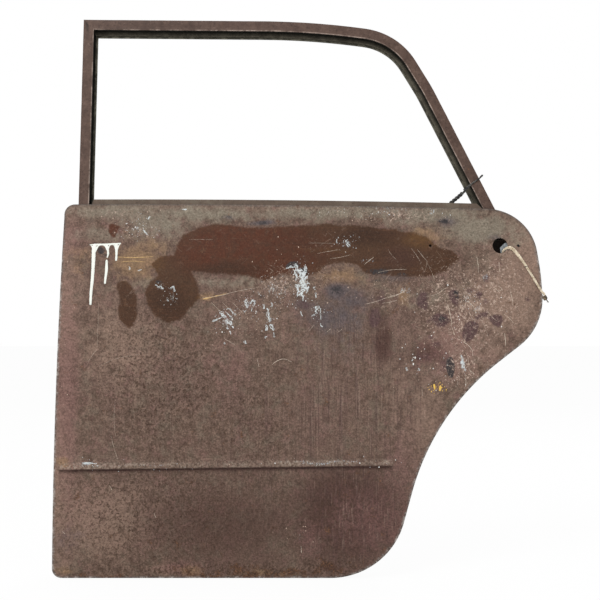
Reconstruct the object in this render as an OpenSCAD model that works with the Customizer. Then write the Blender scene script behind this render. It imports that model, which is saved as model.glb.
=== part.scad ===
/* [Door panel outline] */
// Height of the belt line at the front edge, above the middle of the hinge face
belt_front_z = 373; // [360:1:385]
// Height of the belt line at the rear corner
belt_rear_z = 362; // [355:1:366]
// Rise of the belt line in its middle, above a straight line
belt_bow = 3.9; // [3:0.1:5]
// Distance from the hinge face back to the rear corner of the belt
belt_rear_x = 926; // [915:1:935]
// Distance back to the bend in the rear edge, behind the outside handle
rear_bend_x = 945; // [941:1:950]
// Height of the bend in the rear edge
rear_bend_z = 234; // [225:1:245]
// Distance back to the tail, the rearmost corner of the panel
tail_x = 950; // [945:1:960]
// Height of the tail corner
tail_z = 130; // [120:1:140]
// Distance back to the corner of the hollow that clears the rear wheel
arch_x = 730; // [715:1:745]
// Height of the corner of the wheel hollow
arch_z = -40; // [-55:1:-30]
// Distance back to the toe, where the wheel hollow meets the bottom edge
toe_x = 643; // [630:1:655]
// Height of the bottom edge
sill_z = -370; // [-385:1:-360]
// Lean of the front edge, from vertical
front_lean = 1.8; // [1.2:0.1:2.4]
// Radius of the front top corner
front_top_r = 20; // [18:1:24]
// Radius of the rear top corner
belt_rear_r = 100; // [92:1:106]
// Radius of the bend in the rear edge
rear_bend_r = 500; // [300:10:600]
// Radius of the tail corner
tail_r = 120; // [110:1:128]
// Radius of the hollow that clears the rear wheel
arch_r = 480; // [460:5:500]
// Radius of the toe corner
toe_r = 150; // [140:1:160]
// Radius of the front bottom corner
front_bottom_r = 28; // [24:1:34]

/* [Door panel section] */
// Radius of the outward crown of the outer skin
crown_r = 2200; // [2000:50:2600]
// Height of the widest line of the crown
crown_z = -56; // [-70:1:-40]
// How far the widest line stands out from the middle of the hinge face
crown_out = 45; // [43:1:50]
// Distance from the middle of the hinge face in to the cabin side of the rails
inner_y = 35; // [33:1:38]
// Thickness of the outer skin
skin_t = 1; // [0.8:0.1:1.2]
// Thickness of the pressed rails
rail_t = 1.2; // [1:0.1:1.4]
// Thickness of the inner panel
panel_t = 1; // [0.8:0.1:1.2]
// How far the skin stands out past the rails all round
overhang = 14; // [13:1:16]
// Width of the folded hem of the skin
hem_w = 9; // [7:1:10]
// Width of the rail flange that carries the inner panel
landing_w = 27; // [25:1:30]
// Gap between pieces that are welded or folded together
fit_gap = 0.3; // [0.2:0.05:0.4]

/* [Swage line] */
// Height of the swage step at the front edge
swage_front_z = -152; // [-165:1:-140]
// Height of the swage step at its rear end
swage_rear_z = -144; // [-155:1:-135]
// Distance back to the rear end of the swage
swage_end_x = 652; // [600:5:660]
// Width of the swage at the front edge
swage_front_w = 26; // [22:1:30]
// Width of the swage at its rear end
swage_rear_w = 11; // [9:1:14]
// How far the swage stands out at the front edge
swage_front_h = 4; // [3:0.5:5]
// How far the swage stands out at its rear end
swage_rear_h = 2.5; // [2:0.5:3]

/* [Holes in the skin] */
// Distance back to the outside handle hole
handle_x = 865; // [855:1:875]
// Height of the row of holes for the handle
handle_z = 290; // [280:1:300]
// Radius of the outside handle hole
handle_r = 15; // [12:0.1:16]
// Distance from the handle hole back to its fixing hole
handle_fix_dx = 36; // [32:1:40]
// Distance from the handle hole forward to the moulding hole
moulding_dx = 139; // [120:1:150]
// Radius of the fixing hole and the moulding hole
small_r = 2.6; // [2:0.1:3.5]

/* [Window frame] */
// Height of the header above the belt, along the slope of the frame
header_h = 383; // [370:1:395]
// Distance back to the outer edge of the front post, at the belt
post_x = 24; // [22:1:28]
// Lean of the front post, from vertical
post_lean = 0.5; // [0.2:0.1:0.8]
// Distance back to the first bend of the header
header_bend_x = 494; // [485:1:500]
// Drop of the header at its first bend
header_bend_drop = 4; // [3:1:6]
// Distance back to the tight bend over the rear quarter
quarter_x = 667; // [660:1:672]
// Drop of the header at the tight bend
quarter_drop = 28; // [25:1:30]
// Distance back to the slight bend of the rear post
rear_post_x = 734; // [728:1:740]
// Drop of the rear post at its slight bend
rear_post_drop = 141; // [136:1:146]
// Slope of the rear post, from horizontal
rear_post_slope = 63.8; // [62.5:0.1:65]
// Radius of the first bend of the header
header_bend_r = 1600; // [1200:50:1600]
// Radius of the tight bend
quarter_r = 140; // [125:1:144]
// Radius of the slight bend of the rear post
rear_post_r = 300; // [200:20:500]
// Inward lean of the window frame
frame_tilt = 7; // [5:0.5:8]
// Width of the outer face of the frame
face_w = 21; // [20:0.5:23]
// Reach of the inner lip of the header and rear post
header_lip_w = 33; // [30:0.5:35]
// Reach of the inner lip of the front post
post_lip_w = 28; // [26:0.5:30]
// Depth of the frame from its outer face to its inner face
frame_depth = 22; // [20:0.5:24]
// How far the outer face stands out past the box of the frame
frame_rebate = 8; // [6:0.5:9]
// Distance from the outer edge of the frame to the floor of the glass channel
channel_floor = 13; // [12:0.5:14]
// Length of each post below the belt
post_tail = 60; // [55:1:70]
// Thickness of the rubber glass run
run_t = 2.5; // [2:0.1:3]

/* [Belt rails] */
// How far the outer belt rail stands up past the skin
belt_lip_h = 10; // [8:0.5:12]
// How far the outer belt rail reaches down behind the skin
belt_rail_h = 30; // [25:1:40]
// Width of the folded top of the outer belt rail
belt_fold_w = 6; // [4:0.5:7]
// How far the inner belt rail stands up past the skin's top edge
inner_lip_h = 8; // [5:0.5:9]
// How far the inner belt rail reaches down
inner_rail_h = 52; // [48:1:62]
// Width of the folded top of the inner belt rail
inner_fold_w = 5; // [3:0.5:6]

/* [Hinge face] */
// Distance of each hinge from the middle of the hinge face
hinge_z = 190; // [170:1:210]
// Distance of the hinge bolts' centre in from the middle of the hinge face
hinge_y = 3; // [0:0.5:5]
// Diameter of the circle that the bolts of one hinge lie on
hinge_pcd = 42; // [38:1:44]
// Number of bolts in one hinge
hinge_bolts = 4; // [3:1:4]
// Radius of the hinge bolt holes
hinge_hole_r = 4.25; // [4:0.05:4.5]
// Width of the hinge tapping plate
hinge_plate_w = 50; // [48:1:54]
// Height of the hinge tapping plate
hinge_plate_h = 84; // [70:1:90]
// Thickness of the hinge tapping plate
hinge_plate_t = 4; // [3:0.5:5]
// Height of the door check slot
check_z = 70; // [60:1:85]
// Width of the door check slot
check_w = 12; // [10:1:16]
// Height of the slot's opening
check_h = 32; // [26:1:38]
// Margin of the door check plate round its slot
check_margin = 14; // [12:1:16]
// Thickness of the door check plate
check_plate_t = 2; // [1.5:0.5:3]

/* [Lock face] */
// Distance of the latch in from the middle of the hinge face
latch_y = 6; // [4:0.5:8]
// Diameter of the circle that the latch screws lie on
latch_pcd = 46; // [44:1:48]
// Radius of the latch screw holes
latch_hole_r = 3.3; // [3:0.1:3.6]
// Width of the latch opening
latch_w = 18; // [14:1:20]
// Height of the latch opening
latch_h = 28; // [22:1:30]
// Thickness of the lock reinforcement
lock_plate_t = 2; // [1.5:0.5:3]
// Height of the lock reinforcement
lock_plate_h = 76; // [70:1:80]
// Depth of the lock reinforcement across the lock face
lock_plate_d = 46; // [44:1:50]
// Depth of the reinforcement's leg behind the latch, towards the skin
lock_leg_y = 14; // [12:1:16]

/* [Inner panel] */
// Distance from the skin's edge in to the edge of the inner panel
panel_inset = 20; // [18:1:22]
// Distance from the skin's edge in to the trim clip holes
clip_inset = 56; // [54:1:58]
// Pitch of the trim clip holes
clip_pitch = 120; // [100:1:140]
// Radius of the trim clip holes
clip_r = 3.5; // [3:0.1:4]
// Height of the upper edge of the access openings
access_top_z = 50; // [40:1:60]
// Height of the lower edge of the access openings
access_bottom_z = -290; // [-300:1:-280]
// Distance back to the front edge of the front access opening
access_front_x = 64; // [62:1:72]
// Half the width of the web between the two access openings
access_web = 34; // [28:1:40]
// Distance back to the middle of that web
access_mid_x = 322; // [310:1:335]
// Corner radius of the access openings
access_r = 38; // [30:1:42]
// Depth of the turned-in rim of the access openings
rim_d = 7; // [5:0.5:9]
// Distance back to the window winder spindle
winder_x = 322; // [315:1:330]
// Height of the window winder spindle
winder_z = 160; // [150:1:170]
// Radius of the hole for the window winder spindle
winder_r = 16; // [14:1:18]
// Spacing of the winder bolts along the door
winder_dx = 96; // [90:1:100]
// Spacing of the winder bolts up the door
winder_dz = 64; // [60:1:70]
// Radius of the winder bolt holes
winder_hole_r = 3.5; // [3:0.1:4]
// Distance back to the inside handle
remote_x = 610; // [600:1:620]
// Height of the inside handle
remote_z = 160; // [150:1:170]
// Radius of the hole for the inside handle
remote_r = 13; // [11:1:15]
// Spacing of the inside handle screws
remote_dx = 70; // [64:1:76]
// Half width of the pressed stiffening ribs
rib_r = 9; // [7:1:11]
// Depth of the pressed stiffening ribs
rib_d = 4; // [3:0.5:5]

/* [Glass guide] */
// Length of the front glass guide below the post
guide_l = 210; // [190:5:240]
// Reach of the guide's two legs
guide_leg = 12; // [10:1:14]

/* [Ties] */
// Diameter of the twine
twine_d = 3; // [2.5:0.1:3.5]
// Diameter of the tie wire
wire_d = 2.2; // [1.8:0.1:2.6]

/* [Hidden] */
$fn = 48;
far = 1600;
step_angle = 4;
least_r = 3;
frame_t = 1.2;
face_t = 2;
bead_r = 1.6;
foot_drop = 1;
belt_z = belt_front_z - foot_drop;
frame_y = 0.2;
flange_d = skin_t + fit_gap;
hem_t = 2 * skin_t + rail_t + 2 * fit_gap;
wall_inner = overhang + rail_t;
behind_wall = wall_inner + fit_gap;
rail_split_z = -300;
hinge_rail_top = 350;
arch_split_x = 520;
lock_split_x = 890;
belt_lip_front = 52;
belt_lip_rear = 820;
belt_cut = 13;
belt_rail_front = 13;
drain_front_x = 80;
drain_pitch = 180;
drain_l = 24;
bracket_t = 2;
bracket_clear = 4;
twine_loop = [
    [952, -31, 184.6], [950, -25.3, 186], [943, -23, 195], [938, -13, 209], [935.2, -1, 221.8], [929, -0.8, 223],
    [919, -4, 230], [905, -9.5, 243], [889, -12, 259], [875, -12.5, 270], [870.8, -12.8, 276.5],
    [873.5, -14.5, 281.8], [877.2, -18.3, 284.8], [881.5, -21.4, 285.3], [886, -21, 283.8], [892.5, -20.9, 279],
    [904, -23.3, 264.5], [915.8, -25.8, 247.8], [930.5, -29.1, 223.6], [944, -32, 200.5], [949.5, -33.4, 194],
    [951, -34, 189.6]
];
knot_route = [
    [951.1, -34.1, 189.2], [951.3, -34.3, 188.2], [951.6, -34.5, 186.4], [952, -34.7, 184.4],
    [953, -34.9, 183.2], [955, -35, 181.6], [957, -34.6, 179.5], [959.5, -34, 177.5]
];
knot_swell = [1.2, 1.8, 2.1, 1.8, 1.1, 0.9, 0.8, 0.7];
wire_loop = [
    [-58, 4, 31.5], [-50, -1, 37.5], [-41, -2.2, 43.5], [-30, -2.2, 51.5], [-23.5, -1.6, 56.5], [-19.7, 1, 60.5],
    [-20.5, 5, 61.5], [-24, 12, 58], [-28, 21, 53], [-36, 24.6, 47], [-47, 24.8, 38], [-56, 22, 30],
    [-60.5, 15, 26.5], [-60, 9, 26]
];
wire_twist = [[-59.5, 8, 26], [-66, 9, 20], [-74, 10.5, 13.5], [-82, 12, 7], [-87, 14, 2.5]];
drill_l = 24;
post_reach = 200;
fine_step = 1.2;
belt_step = 0.2;
belt_arc = 0.8;
belt_peak = belt_bow / (1 - belt_arc / 2);
belt_steps = 12;

// A point in the drawing plane of the door at distance 1 and the given angle
function dir(a) = [cos(a), sin(a)];
// Point i of a closed list of [x, z, r]
function corner(pts, i) = let (p = pts[(i + len(pts)) % len(pts)]) [p[0], p[1]];
// Heading of the edge that leaves point i
function heading(pts, i) = let (d = corner(pts, i + 1) - corner(pts, i)) atan2(d[1], d[0]);
// Turn at point i, negative to the right
function turn_at(pts, i) =
    let (t = heading(pts, i) - heading(pts, i - 1)) t > 180 ? t - 360 : t < -180 ? t + 360 : t;
// Points of the fillet at point i of a clockwise outline, moved in by d
function fillet_arc(pts, i, d) =
    let (
        h = heading(pts, i - 1),
        t = turn_at(pts, i),
        side = t < 0 ? 1 : -1,
        r = side > 0 ? max(pts[i][2] - d, least_r) : pts[i][2] + d,
        out = dir(h + t / 2 - 90) / cos(t / 2),
        c = corner(pts, i) + (d + side * r) * out,
        step = pts[i][2] > 1e4 ? belt_step : pts[i][2] > 1000 ? fine_step : step_angle,
        n = max(2, ceil(abs(t) / step))
    )
    pts[i][2] == 0 ? [corner(pts, i) + d * out] : [for (k = [0:n]) c + r * dir(h + t * k / n + 90 * side)];
// A clockwise outline of filleted points, moved in by d
function inset(pts, d) = [for (i = [0:len(pts) - 1]) each fillet_arc(pts, i, d)];
// Depth of the outside of the crown at a height
function crown_y(z) = crown_r - crown_out - sqrt(pow(crown_r, 2) - pow(z - crown_z, 2));
// Height of the top edge of the skin at a distance from the hinge face
function belt_at(x) =
    let (t = x / belt_rear_x) belt_front_z + (belt_rear_z - belt_front_z) * t + 4 * belt_bow * t * (1 - t);
// Points at a height above the belt line, from x0 to x1
function belt_line(x0, x1, up) =
    [for (k = [0:belt_steps]) let (x = x0 + (x1 - x0) * k / belt_steps) [x, belt_at(x) + up]];
// Distance back to the front edge of the skin at a height
function front_x(z) = z * tan(front_lean) - overhang / cos(front_lean);
// Distance back to the outer edge of the rear post, at a height on the frame above the belt
function rear_post_at(w) = rear_post_x + (header_h - rear_post_drop - w) / tan(rear_post_slope);

panel_pts = [
    [front_x(belt_front_z), belt_front_z, front_top_r],
    [
        belt_rear_x / 2,
        (belt_front_z + belt_rear_z) / 2 + belt_peak,
        belt_arc * pow(belt_rear_x / 2, 2) / belt_peak
    ],
    [belt_rear_x, belt_rear_z, belt_rear_r],
    [rear_bend_x, rear_bend_z, rear_bend_r],
    [tail_x, tail_z, tail_r],
    [arch_x, arch_z, arch_r],
    [toe_x, sill_z, toe_r],
    [front_x(sill_z), sill_z, front_bottom_r]
];
frame_pts = [
    [post_x + header_h * tan(post_lean), header_h, 0],
    [header_bend_x, header_h - header_bend_drop, header_bend_r],
    [quarter_x, header_h - quarter_drop, quarter_r],
    [rear_post_x, header_h - rear_post_drop, rear_post_r],
    [rear_post_at(-post_reach), -post_reach, 0],
    [post_x - post_reach * tan(post_lean), -post_reach, 0]
];
front_access = [
    [access_front_x, access_top_z, access_r],
    [access_mid_x - access_web, access_top_z, access_r],
    [access_mid_x - access_web, access_bottom_z, access_r],
    [access_front_x, access_bottom_z, access_r]
];
rear_access = [
    [access_mid_x + access_web, access_top_z, access_r],
    [arch_x + 30, access_top_z, access_r],
    [arch_x - 65, arch_z, 3 * access_r],
    [toe_x - 68, access_bottom_z, access_r],
    [access_mid_x + access_web, access_bottom_z, access_r]
];
lock_lean = 90 + (heading(panel_pts, 2) + heading(panel_pts, 3)) / 2;
lock_at = corner(panel_pts, 3) - overhang * dir(lock_lean);

// Everything behind the crowned outside surface, moved in by d
module behind_crown(d) {
    translate([-overhang * 4, crown_r - crown_out, crown_z])
        rotate([0, 90, 0])
            cylinder(r = crown_r - d, h = far, $fn = 720);
}

// A flat plate of the given outline between two depths
module plate(pts, y0, y1) {
    translate([0, y1, 0]) rotate([90, 0, 0]) linear_extrude(y1 - y0) polygon(pts);
}

// A flat ring between two insets of an outline
module ring(pts, d0, d1, y0, y1) {
    translate([0, y1, 0]) rotate([90, 0, 0]) linear_extrude(y1 - y0) difference() {
        polygon(inset(pts, d0));
        polygon(inset(pts, d1));
    }
}

// A layer that follows the crown, between two depths behind it
module layer(d0, d1) {
    difference() {
        intersection() {
            behind_crown(d0);
            children();
        }
        behind_crown(d1);
    }
}

// A box given by its corners
module block(a, b) {
    translate(a) cube(b - a);
}

// Places children with x going in from the hinge face and z along it
module on_hinge_face() {
    rotate([0, front_lean, 0]) children();
}

// Places children with x going out from the lock face and z along it
module on_lock_face() {
    translate([lock_at[0], latch_y, lock_at[1]]) rotate([0, -lock_lean, 0]) children();
}

// Places children in the plane of the window frame, y going in and z up from the belt
module on_frame() {
    translate([0, frame_y, belt_z]) rotate([-frame_tilt, 0, 0]) children();
}

// A circle of holes along x, with the first at an angle from the top
module bolt_circle(pcd, count, first, r) {
    for (k = [0:count - 1])
        rotate([first + 360 * k / count, 0, 0])
            translate([-drill_l / 2, 0, pcd / 2])
                rotate([0, 90, 0]) cylinder(r = r, h = drill_l);
}

// A hole along y
module bore(x, z, r) {
    translate([x, -far / 8, z]) rotate([-90, 0, 0]) cylinder(r = r, h = far / 4);
}

// The pressed bulge of the swage, smaller by d on every side
module swage_bulge(d) {
    r0 = (pow(swage_front_w, 2) + pow(swage_front_h, 2)) / (2 * swage_front_h);
    r1 = (pow(swage_rear_w, 2) + pow(swage_rear_h, 2)) / (2 * swage_rear_h);
    start_x = front_x(swage_front_z) + hem_w;
    run = swage_end_x - start_x;
    rise = swage_rear_z - swage_front_z;
    fall = (r1 - swage_rear_h) - (r0 - swage_front_h);
    length = norm([run, fall, rise]);
    translate([start_x, r0 - swage_front_h + crown_y(swage_front_z), swage_front_z])
        rotate([0, acos(rise / length), atan2(fall, run)])
            difference() {
                translate([0, 0, d]) cylinder(r1 = r0 - d, r2 = r1 - d, h = length - 2 * d, $fn = 360);
                translate([-d, -far / 2, -far / 2]) cube(far);
            }
}

// The rails all round, before they are parted
module rail_ring() {
    layer(flange_d, flange_d + rail_t) ring(panel_pts, flange_d, wall_inner, -far / 8, far / 8);
    intersection() {
        behind_crown(flange_d);
        ring(panel_pts, overhang, wall_inner, -far / 8, inner_y);
    }
    ring(panel_pts, overhang, overhang + landing_w, inner_y - rail_t, inner_y);
}

// The section of the window frame, x in from its outer edge and y in from its face
module frame_section(lip) {
    square([face_w, face_t]);
    translate([face_w - bead_r, face_t - bead_r / 2]) circle(r = bead_r, $fn = 24);
    translate([frame_rebate, 0]) square([frame_t, frame_depth]);
    translate([channel_floor, 0]) square([frame_t, frame_depth]);
    translate([frame_rebate, frame_depth - frame_t]) square([lip - frame_rebate - bead_r, frame_t]);
    translate([lip - bead_r, frame_depth - bead_r]) circle(r = bead_r, $fn = 24);
}

// The section of the rubber glass run inside the frame
module run_section(lip) {
    base = channel_floor + frame_t + fit_gap;
    outer = face_t + bead_r / 2 + fit_gap;
    inner = frame_depth - frame_t - fit_gap;
    translate([base, outer]) square([run_t, inner - outer]);
    translate([base, outer]) square([face_w + 1 - base, run_t]);
    translate([base, inner - run_t]) square([lip - 3 * bead_r - base, run_t]);
}

// A straight length of a section, from a point of the frame's outer edge along a heading
module straight_piece(p, a, l) {
    translate([p[0], 0, p[1]]) rotate([0, 90 - a, 0]) linear_extrude(l) children();
}

// The part of the window frame's line that the header and rear post take
module header_side() {
    mitre();
    block([header_bend_x, -face_t, -post_tail], [far, 2 * frame_depth, far / 2]);
}

// A rolled edge round the window frame, at an inset and a depth
module rolled_edge(u, v) {
    for (k = [1, 0.6], h = [k * bead_r])
        ring(frame_pts, u - bead_r * sqrt(1.36 - k * k), u + bead_r * sqrt(1.36 - k * k), v - h, v + h);
}

// The front post as one straight section, going up
module post_sweep() {
    foot = [post_x - post_tail * tan(post_lean), -post_tail];
    straight_piece(foot, 90 - post_lean, header_h + post_tail) children();
}

// The side of the mitre at the front top corner that the header is on
module mitre() {
    p = corner(frame_pts, 0);
    lip = [post_lip_w, -header_lip_w];
    plate([p - 3 * lip, p + 3 * lip, p + 3 * lip + [far, 0], p - 3 * lip + [far, 0]], -10, 2 * frame_depth);
}

// The hollow behind the skin and inside its folded hem
module skin_hollow() {
    intersection() {
        behind_crown(skin_t);
        union() {
            plate(inset(panel_pts, hem_w), -far / 8, far / 8);
            difference() {
                plate(inset(panel_pts, skin_t), -far / 8, far / 8);
                behind_crown(hem_t - skin_t);
            }
            block([-far / 4, -far / 4, belt_rear_z - hem_w], [lock_split_x - 30, far / 4, far]);
            block([-far / 4, -far / 4, belt_front_z - front_top_r - 2], [front_top_r, far / 4, far]);
        }
    }
}

module outer_skin() {
    color("#6f5a52") difference() {
        union() {
            difference() {
                layer(0, hem_t) plate(inset(panel_pts, 0), -far / 8, far / 8);
                skin_hollow();
            }
            difference() {
                swage_bulge(0);
                behind_crown(skin_t / 2);
            }
        }
        swage_bulge(skin_t);
        bore(handle_x, handle_z, handle_r);
        bore(handle_x + handle_fix_dx, handle_z, small_r);
        bore(handle_x - moulding_dx, handle_z, small_r);
    }
}

module hinge_rail() {
    color("#4b4440") difference() {
        intersection() {
            rail_ring();
            block(
                [-far / 4, -far / 4, rail_split_z],
                [front_x(belt_z) + overhang + landing_w, far / 4, hinge_rail_top]
            );
        }
        on_hinge_face() {
            for (z = [-hinge_z, hinge_z])
                translate([0, hinge_y, z]) bolt_circle(hinge_pcd, hinge_bolts, 180 / hinge_bolts, hinge_hole_r);
            block(
                [-10, hinge_y - check_w / 2, check_z - check_h / 2],
                [10, hinge_y + check_w / 2, check_z + check_h / 2]
            );
        }
    }
}

module bottom_rail() {
    color("#4b4440") difference() {
        intersection() {
            rail_ring();
            block([-far / 4, -far / 4, -far], [arch_split_x, far / 4, rail_split_z - fit_gap]);
        }
        for (x = [drain_front_x:drain_pitch:arch_split_x])
            block([x - drain_l / 2, -2, sill_z], [x + drain_l / 2, 4, sill_z + 2 * overhang]);
    }
}

module wheel_arch_rail() {
    color("#4b4440") intersection() {
        rail_ring();
        block([arch_split_x + fit_gap, -far / 4, -far], [lock_split_x, far / 4, tail_z]);
    }
}

module lock_rail() {
    color("#4b4440") difference() {
        intersection() {
            rail_ring();
            block([lock_split_x + fit_gap, -far / 4, 0], [far, far / 4, far]);
        }
        latch_cuts();
    }
}

// The holes for the latch
module latch_cuts() {
    on_lock_face() {
        bolt_circle(latch_pcd, 3, 0, latch_hole_r);
        block([-10, -latch_w / 2, -latch_h / 2], [10, latch_w / 2, latch_h / 2]);
    }
}

// A pressed rib that stands out on the cabin side, smaller by d
module rib(x0, x1, z, d) {
    r = (pow(rib_r, 2) + pow(rib_d, 2)) / (2 * rib_d);
    translate([x0, inner_y + rib_d + panel_t - r, z])
        rotate([0, 90, 0]) cylinder(r = r - d, h = x1 - x0, $fn = 72);
    for (x = [x0, x1])
        translate([x, inner_y + rib_d + panel_t - r, z]) sphere(r = r - d, $fn = 72);
}

module inner_panel() {
    holes = [for (z = [access_bottom_z:clip_pitch:belt_z - clip_pitch / 2]) [front_x(z) + clip_inset, z]];
    color("#5b4a42") difference() {
        union() {
            plate(inset(panel_pts, panel_inset), inner_y, inner_y + panel_t);
            ring(front_access, -panel_t, 0, inner_y - rim_d, inner_y);
            ring(rear_access, -panel_t, 0, inner_y - rim_d, inner_y);
            difference() {
                for (z = [access_top_z + 28, remote_z + 100])
                    rib(access_front_x + 20, arch_x - 20, z, 0);
                block([-far, -far, -far], [far, inner_y + panel_t / 2, far]);
            }
        }
        plate(inset(front_access, 0), 0, 2 * inner_y);
        plate(inset(rear_access, 0), 0, 2 * inner_y);
        for (z = [access_top_z + 28, remote_z + 100])
            rib(access_front_x + 20, arch_x - 20, z, panel_t);
        bore(winder_x, winder_z, winder_r);
        for (x = [-1, 1], z = [-1, 1])
            bore(winder_x + x * winder_dx / 2, winder_z + z * winder_dz / 2, winder_hole_r);
        bore(remote_x, remote_z, remote_r);
        for (x = [-1, 1])
            bore(remote_x + x * remote_dx / 2, remote_z, clip_r);
        for (p = holes)
            bore(p[0], p[1], clip_r);
        for (x = [access_front_x:clip_pitch:arch_split_x + clip_pitch / 2])
            bore(x, sill_z + clip_inset - 4, clip_r);
        for (z = [tail_z + access_r:clip_pitch:belt_rear_z - clip_inset])
            bore(rear_bend_x - clip_inset, z, clip_r);
    }
}

module outer_belt_rail() {
    low = belt_at(0) - belt_rail_h;
    lip = [
        [belt_rail_front, low],
        [belt_rail_front, belt_at(0) - flange_d - fit_gap],
        [belt_lip_front - 2, belt_at(0) - flange_d - fit_gap],
        each belt_line(belt_lip_front + 3, belt_lip_rear, belt_lip_h),
        [belt_lip_rear + belt_cut, belt_at(belt_lip_rear + belt_cut) - flange_d],
        for (p = fillet_arc(panel_pts, 2, flange_d))
            if (p[0] > belt_lip_rear + belt_cut && p[0] < lock_split_x) p,
        [lock_split_x, low]
    ];
    fold = [
        each belt_line(belt_lip_front + 8, belt_lip_rear - 6, belt_lip_h),
        each belt_line(belt_lip_rear - 6, belt_lip_front + 8, belt_lip_h - rail_t)
    ];
    fold_y = crown_y(belt_z + belt_lip_h) + flange_d + belt_fold_w;
    color("#6a655c") {
        layer(flange_d, flange_d + rail_t) plate(lip, -far / 8, far / 8);
        intersection() {
            behind_crown(flange_d);
            plate(fold, -far / 8, fold_y);
        }
    }
}

module inner_belt_rail() {
    y1 = inner_y - fit_gap;
    x0 = front_x(belt_z) + overhang + landing_w + 1;
    x1 = belt_lip_rear + 2 * belt_cut;
    x2 = lock_split_x - 1;
    low = inner_lip_h - inner_rail_h;
    web = [
        each belt_line(x0, x1, inner_lip_h),
        [x2, belt_at(x2) + inner_lip_h - (x2 - x1) / 2],
        [x2, belt_at(x2) + low],
        [x0, belt_at(x0) + low]
    ];
    fold = [each belt_line(x0, x1, inner_lip_h), each belt_line(x1, x0, inner_lip_h - rail_t)];
    color("#4b4440") {
        plate(web, y1 - rail_t, y1);
        plate(fold, y1 - inner_fold_w, y1);
    }
}

module front_post() {
    color("#73523f") on_frame() difference() {
        post_sweep() frame_section(post_lip_w);
        mitre();
    }
}

module header_rail() {
    lip = header_lip_w - bead_r;
    color("#73523f") on_frame() intersection() {
        union() {
            ring(frame_pts, 0, face_w, 0, face_t);
            ring(frame_pts, frame_rebate, frame_rebate + frame_t, 0, frame_depth);
            ring(frame_pts, channel_floor, channel_floor + frame_t, 0, frame_depth);
            ring(frame_pts, frame_rebate, lip, frame_depth - frame_t, frame_depth);
            rolled_edge(face_w - bead_r, face_t - bead_r / 2);
            rolled_edge(lip, frame_depth - bead_r);
        }
        header_side();
    }
}

module front_glass_run() {
    color("#2c2f27") on_frame() difference() {
        post_sweep() run_section(post_lip_w);
        mitre();
    }
}

module header_glass_run() {
    base = channel_floor + frame_t + fit_gap;
    outer = face_t + bead_r / 2 + fit_gap;
    inner = frame_depth - frame_t - fit_gap;
    color("#2c2f27") on_frame() intersection() {
        union() {
            ring(frame_pts, base, base + run_t, outer, inner);
            ring(frame_pts, base, face_w + 1, outer, outer + run_t);
            ring(frame_pts, base, header_lip_w - 3 * bead_r, inner - run_t, inner);
        }
        header_side();
    }
}

module front_glass_guide() {
    outer = face_t + bead_r / 2;
    inner = frame_depth - frame_t;
    top = -post_tail - fit_gap;
    color("#5a5048") on_frame()
        straight_piece([post_x + (top - guide_l) * tan(post_lean), top - guide_l], 90 - post_lean, guide_l)
            translate([channel_floor, outer]) difference() {
                square([guide_leg, inner - outer]);
                translate([frame_t, frame_t]) square([guide_leg, inner - outer - 2 * frame_t]);
            }
}

module guide_bracket() {
    foot_z = check_z + check_h / 2 + check_margin + bracket_clear;
    head_z = hinge_z - hinge_plate_h / 2 - bracket_clear;
    arm = ((foot_z + head_z) / 2 - belt_z) / cos(frame_tilt);
    low = arm - 10;
    reach = post_x + channel_floor + low * tan(post_lean) - fit_gap;
    color("#5a5048") {
        on_frame() {
            block([reach - bracket_t, 5, low], [reach, 18, low + 24]);
            block([behind_wall - 9, 5, arm], [reach, 18, arm + bracket_t]);
        }
        intersection() {
            ring(panel_pts, behind_wall, behind_wall + bracket_t, -30, 0);
            block([-10, -30, foot_z], [30, 0, head_z]);
        }
    }
}

// A tapping plate inside the hinge face
module hinge_plate(z) {
    color("#6d6a66") on_hinge_face() translate([0, hinge_y, z]) difference() {
        translate([rail_t + fit_gap, -hinge_plate_w / 2, -hinge_plate_h / 2])
            cube([hinge_plate_t, hinge_plate_w, hinge_plate_h]);
        bolt_circle(hinge_pcd, hinge_bolts, 180 / hinge_bolts, hinge_hole_r);
    }
}

module upper_hinge_plate() {
    hinge_plate(hinge_z);
}

module lower_hinge_plate() {
    hinge_plate(-hinge_z);
}

module check_plate() {
    m = check_margin;
    color("#6d6a66") on_hinge_face() translate([0, hinge_y, check_z]) difference() {
        block(
            [rail_t + fit_gap, -check_w / 2 - m, -check_h / 2 - m],
            [rail_t + fit_gap + check_plate_t, check_w / 2 + m, check_h / 2 + m]
        );
        block([-10, -check_w / 2, -check_h / 2], [20, check_w / 2, check_h / 2]);
    }
}

module lock_reinforcement() {
    depth = behind_wall + lock_plate_t;
    half_d = lock_plate_d / 2;
    leg = [
        [handle_x + 11, handle_z + 6], [handle_x + 1, handle_z - 4], [handle_x + 3, handle_z - handle_r - 2],
        [handle_x + 25, handle_z - 38], [far, handle_z - 38], [far, handle_z + 6]
    ];
    color("#8b8a86") difference() {
        union() {
            intersection() {
                ring(panel_pts, behind_wall, depth, latch_y - half_d, latch_y + half_d);
                on_lock_face() block([-40, -half_d, -lock_plate_h / 2], [40, half_d, lock_plate_h / 2]);
            }
            intersection() {
                plate(inset(panel_pts, behind_wall), latch_y - lock_leg_y, latch_y - lock_leg_y + lock_plate_t);
                plate(leg, -inner_y, inner_y);
            }
        }
        latch_cuts();
    }
}

module front_post_bracket() {
    color("#5a5048") {
        on_frame() block(
            [behind_wall - 2.6, frame_depth + fit_gap, 4 - post_tail],
            [post_x + post_lip_w, frame_depth + fit_gap + bracket_t, -24]
        );
        intersection() {
            ring(panel_pts, behind_wall, behind_wall + bracket_t, 0, inner_y - 2 * rail_t);
            block([-10, 0, belt_z - post_tail + 8], [30, 22, belt_z - 30]);
        }
    }
}

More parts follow.
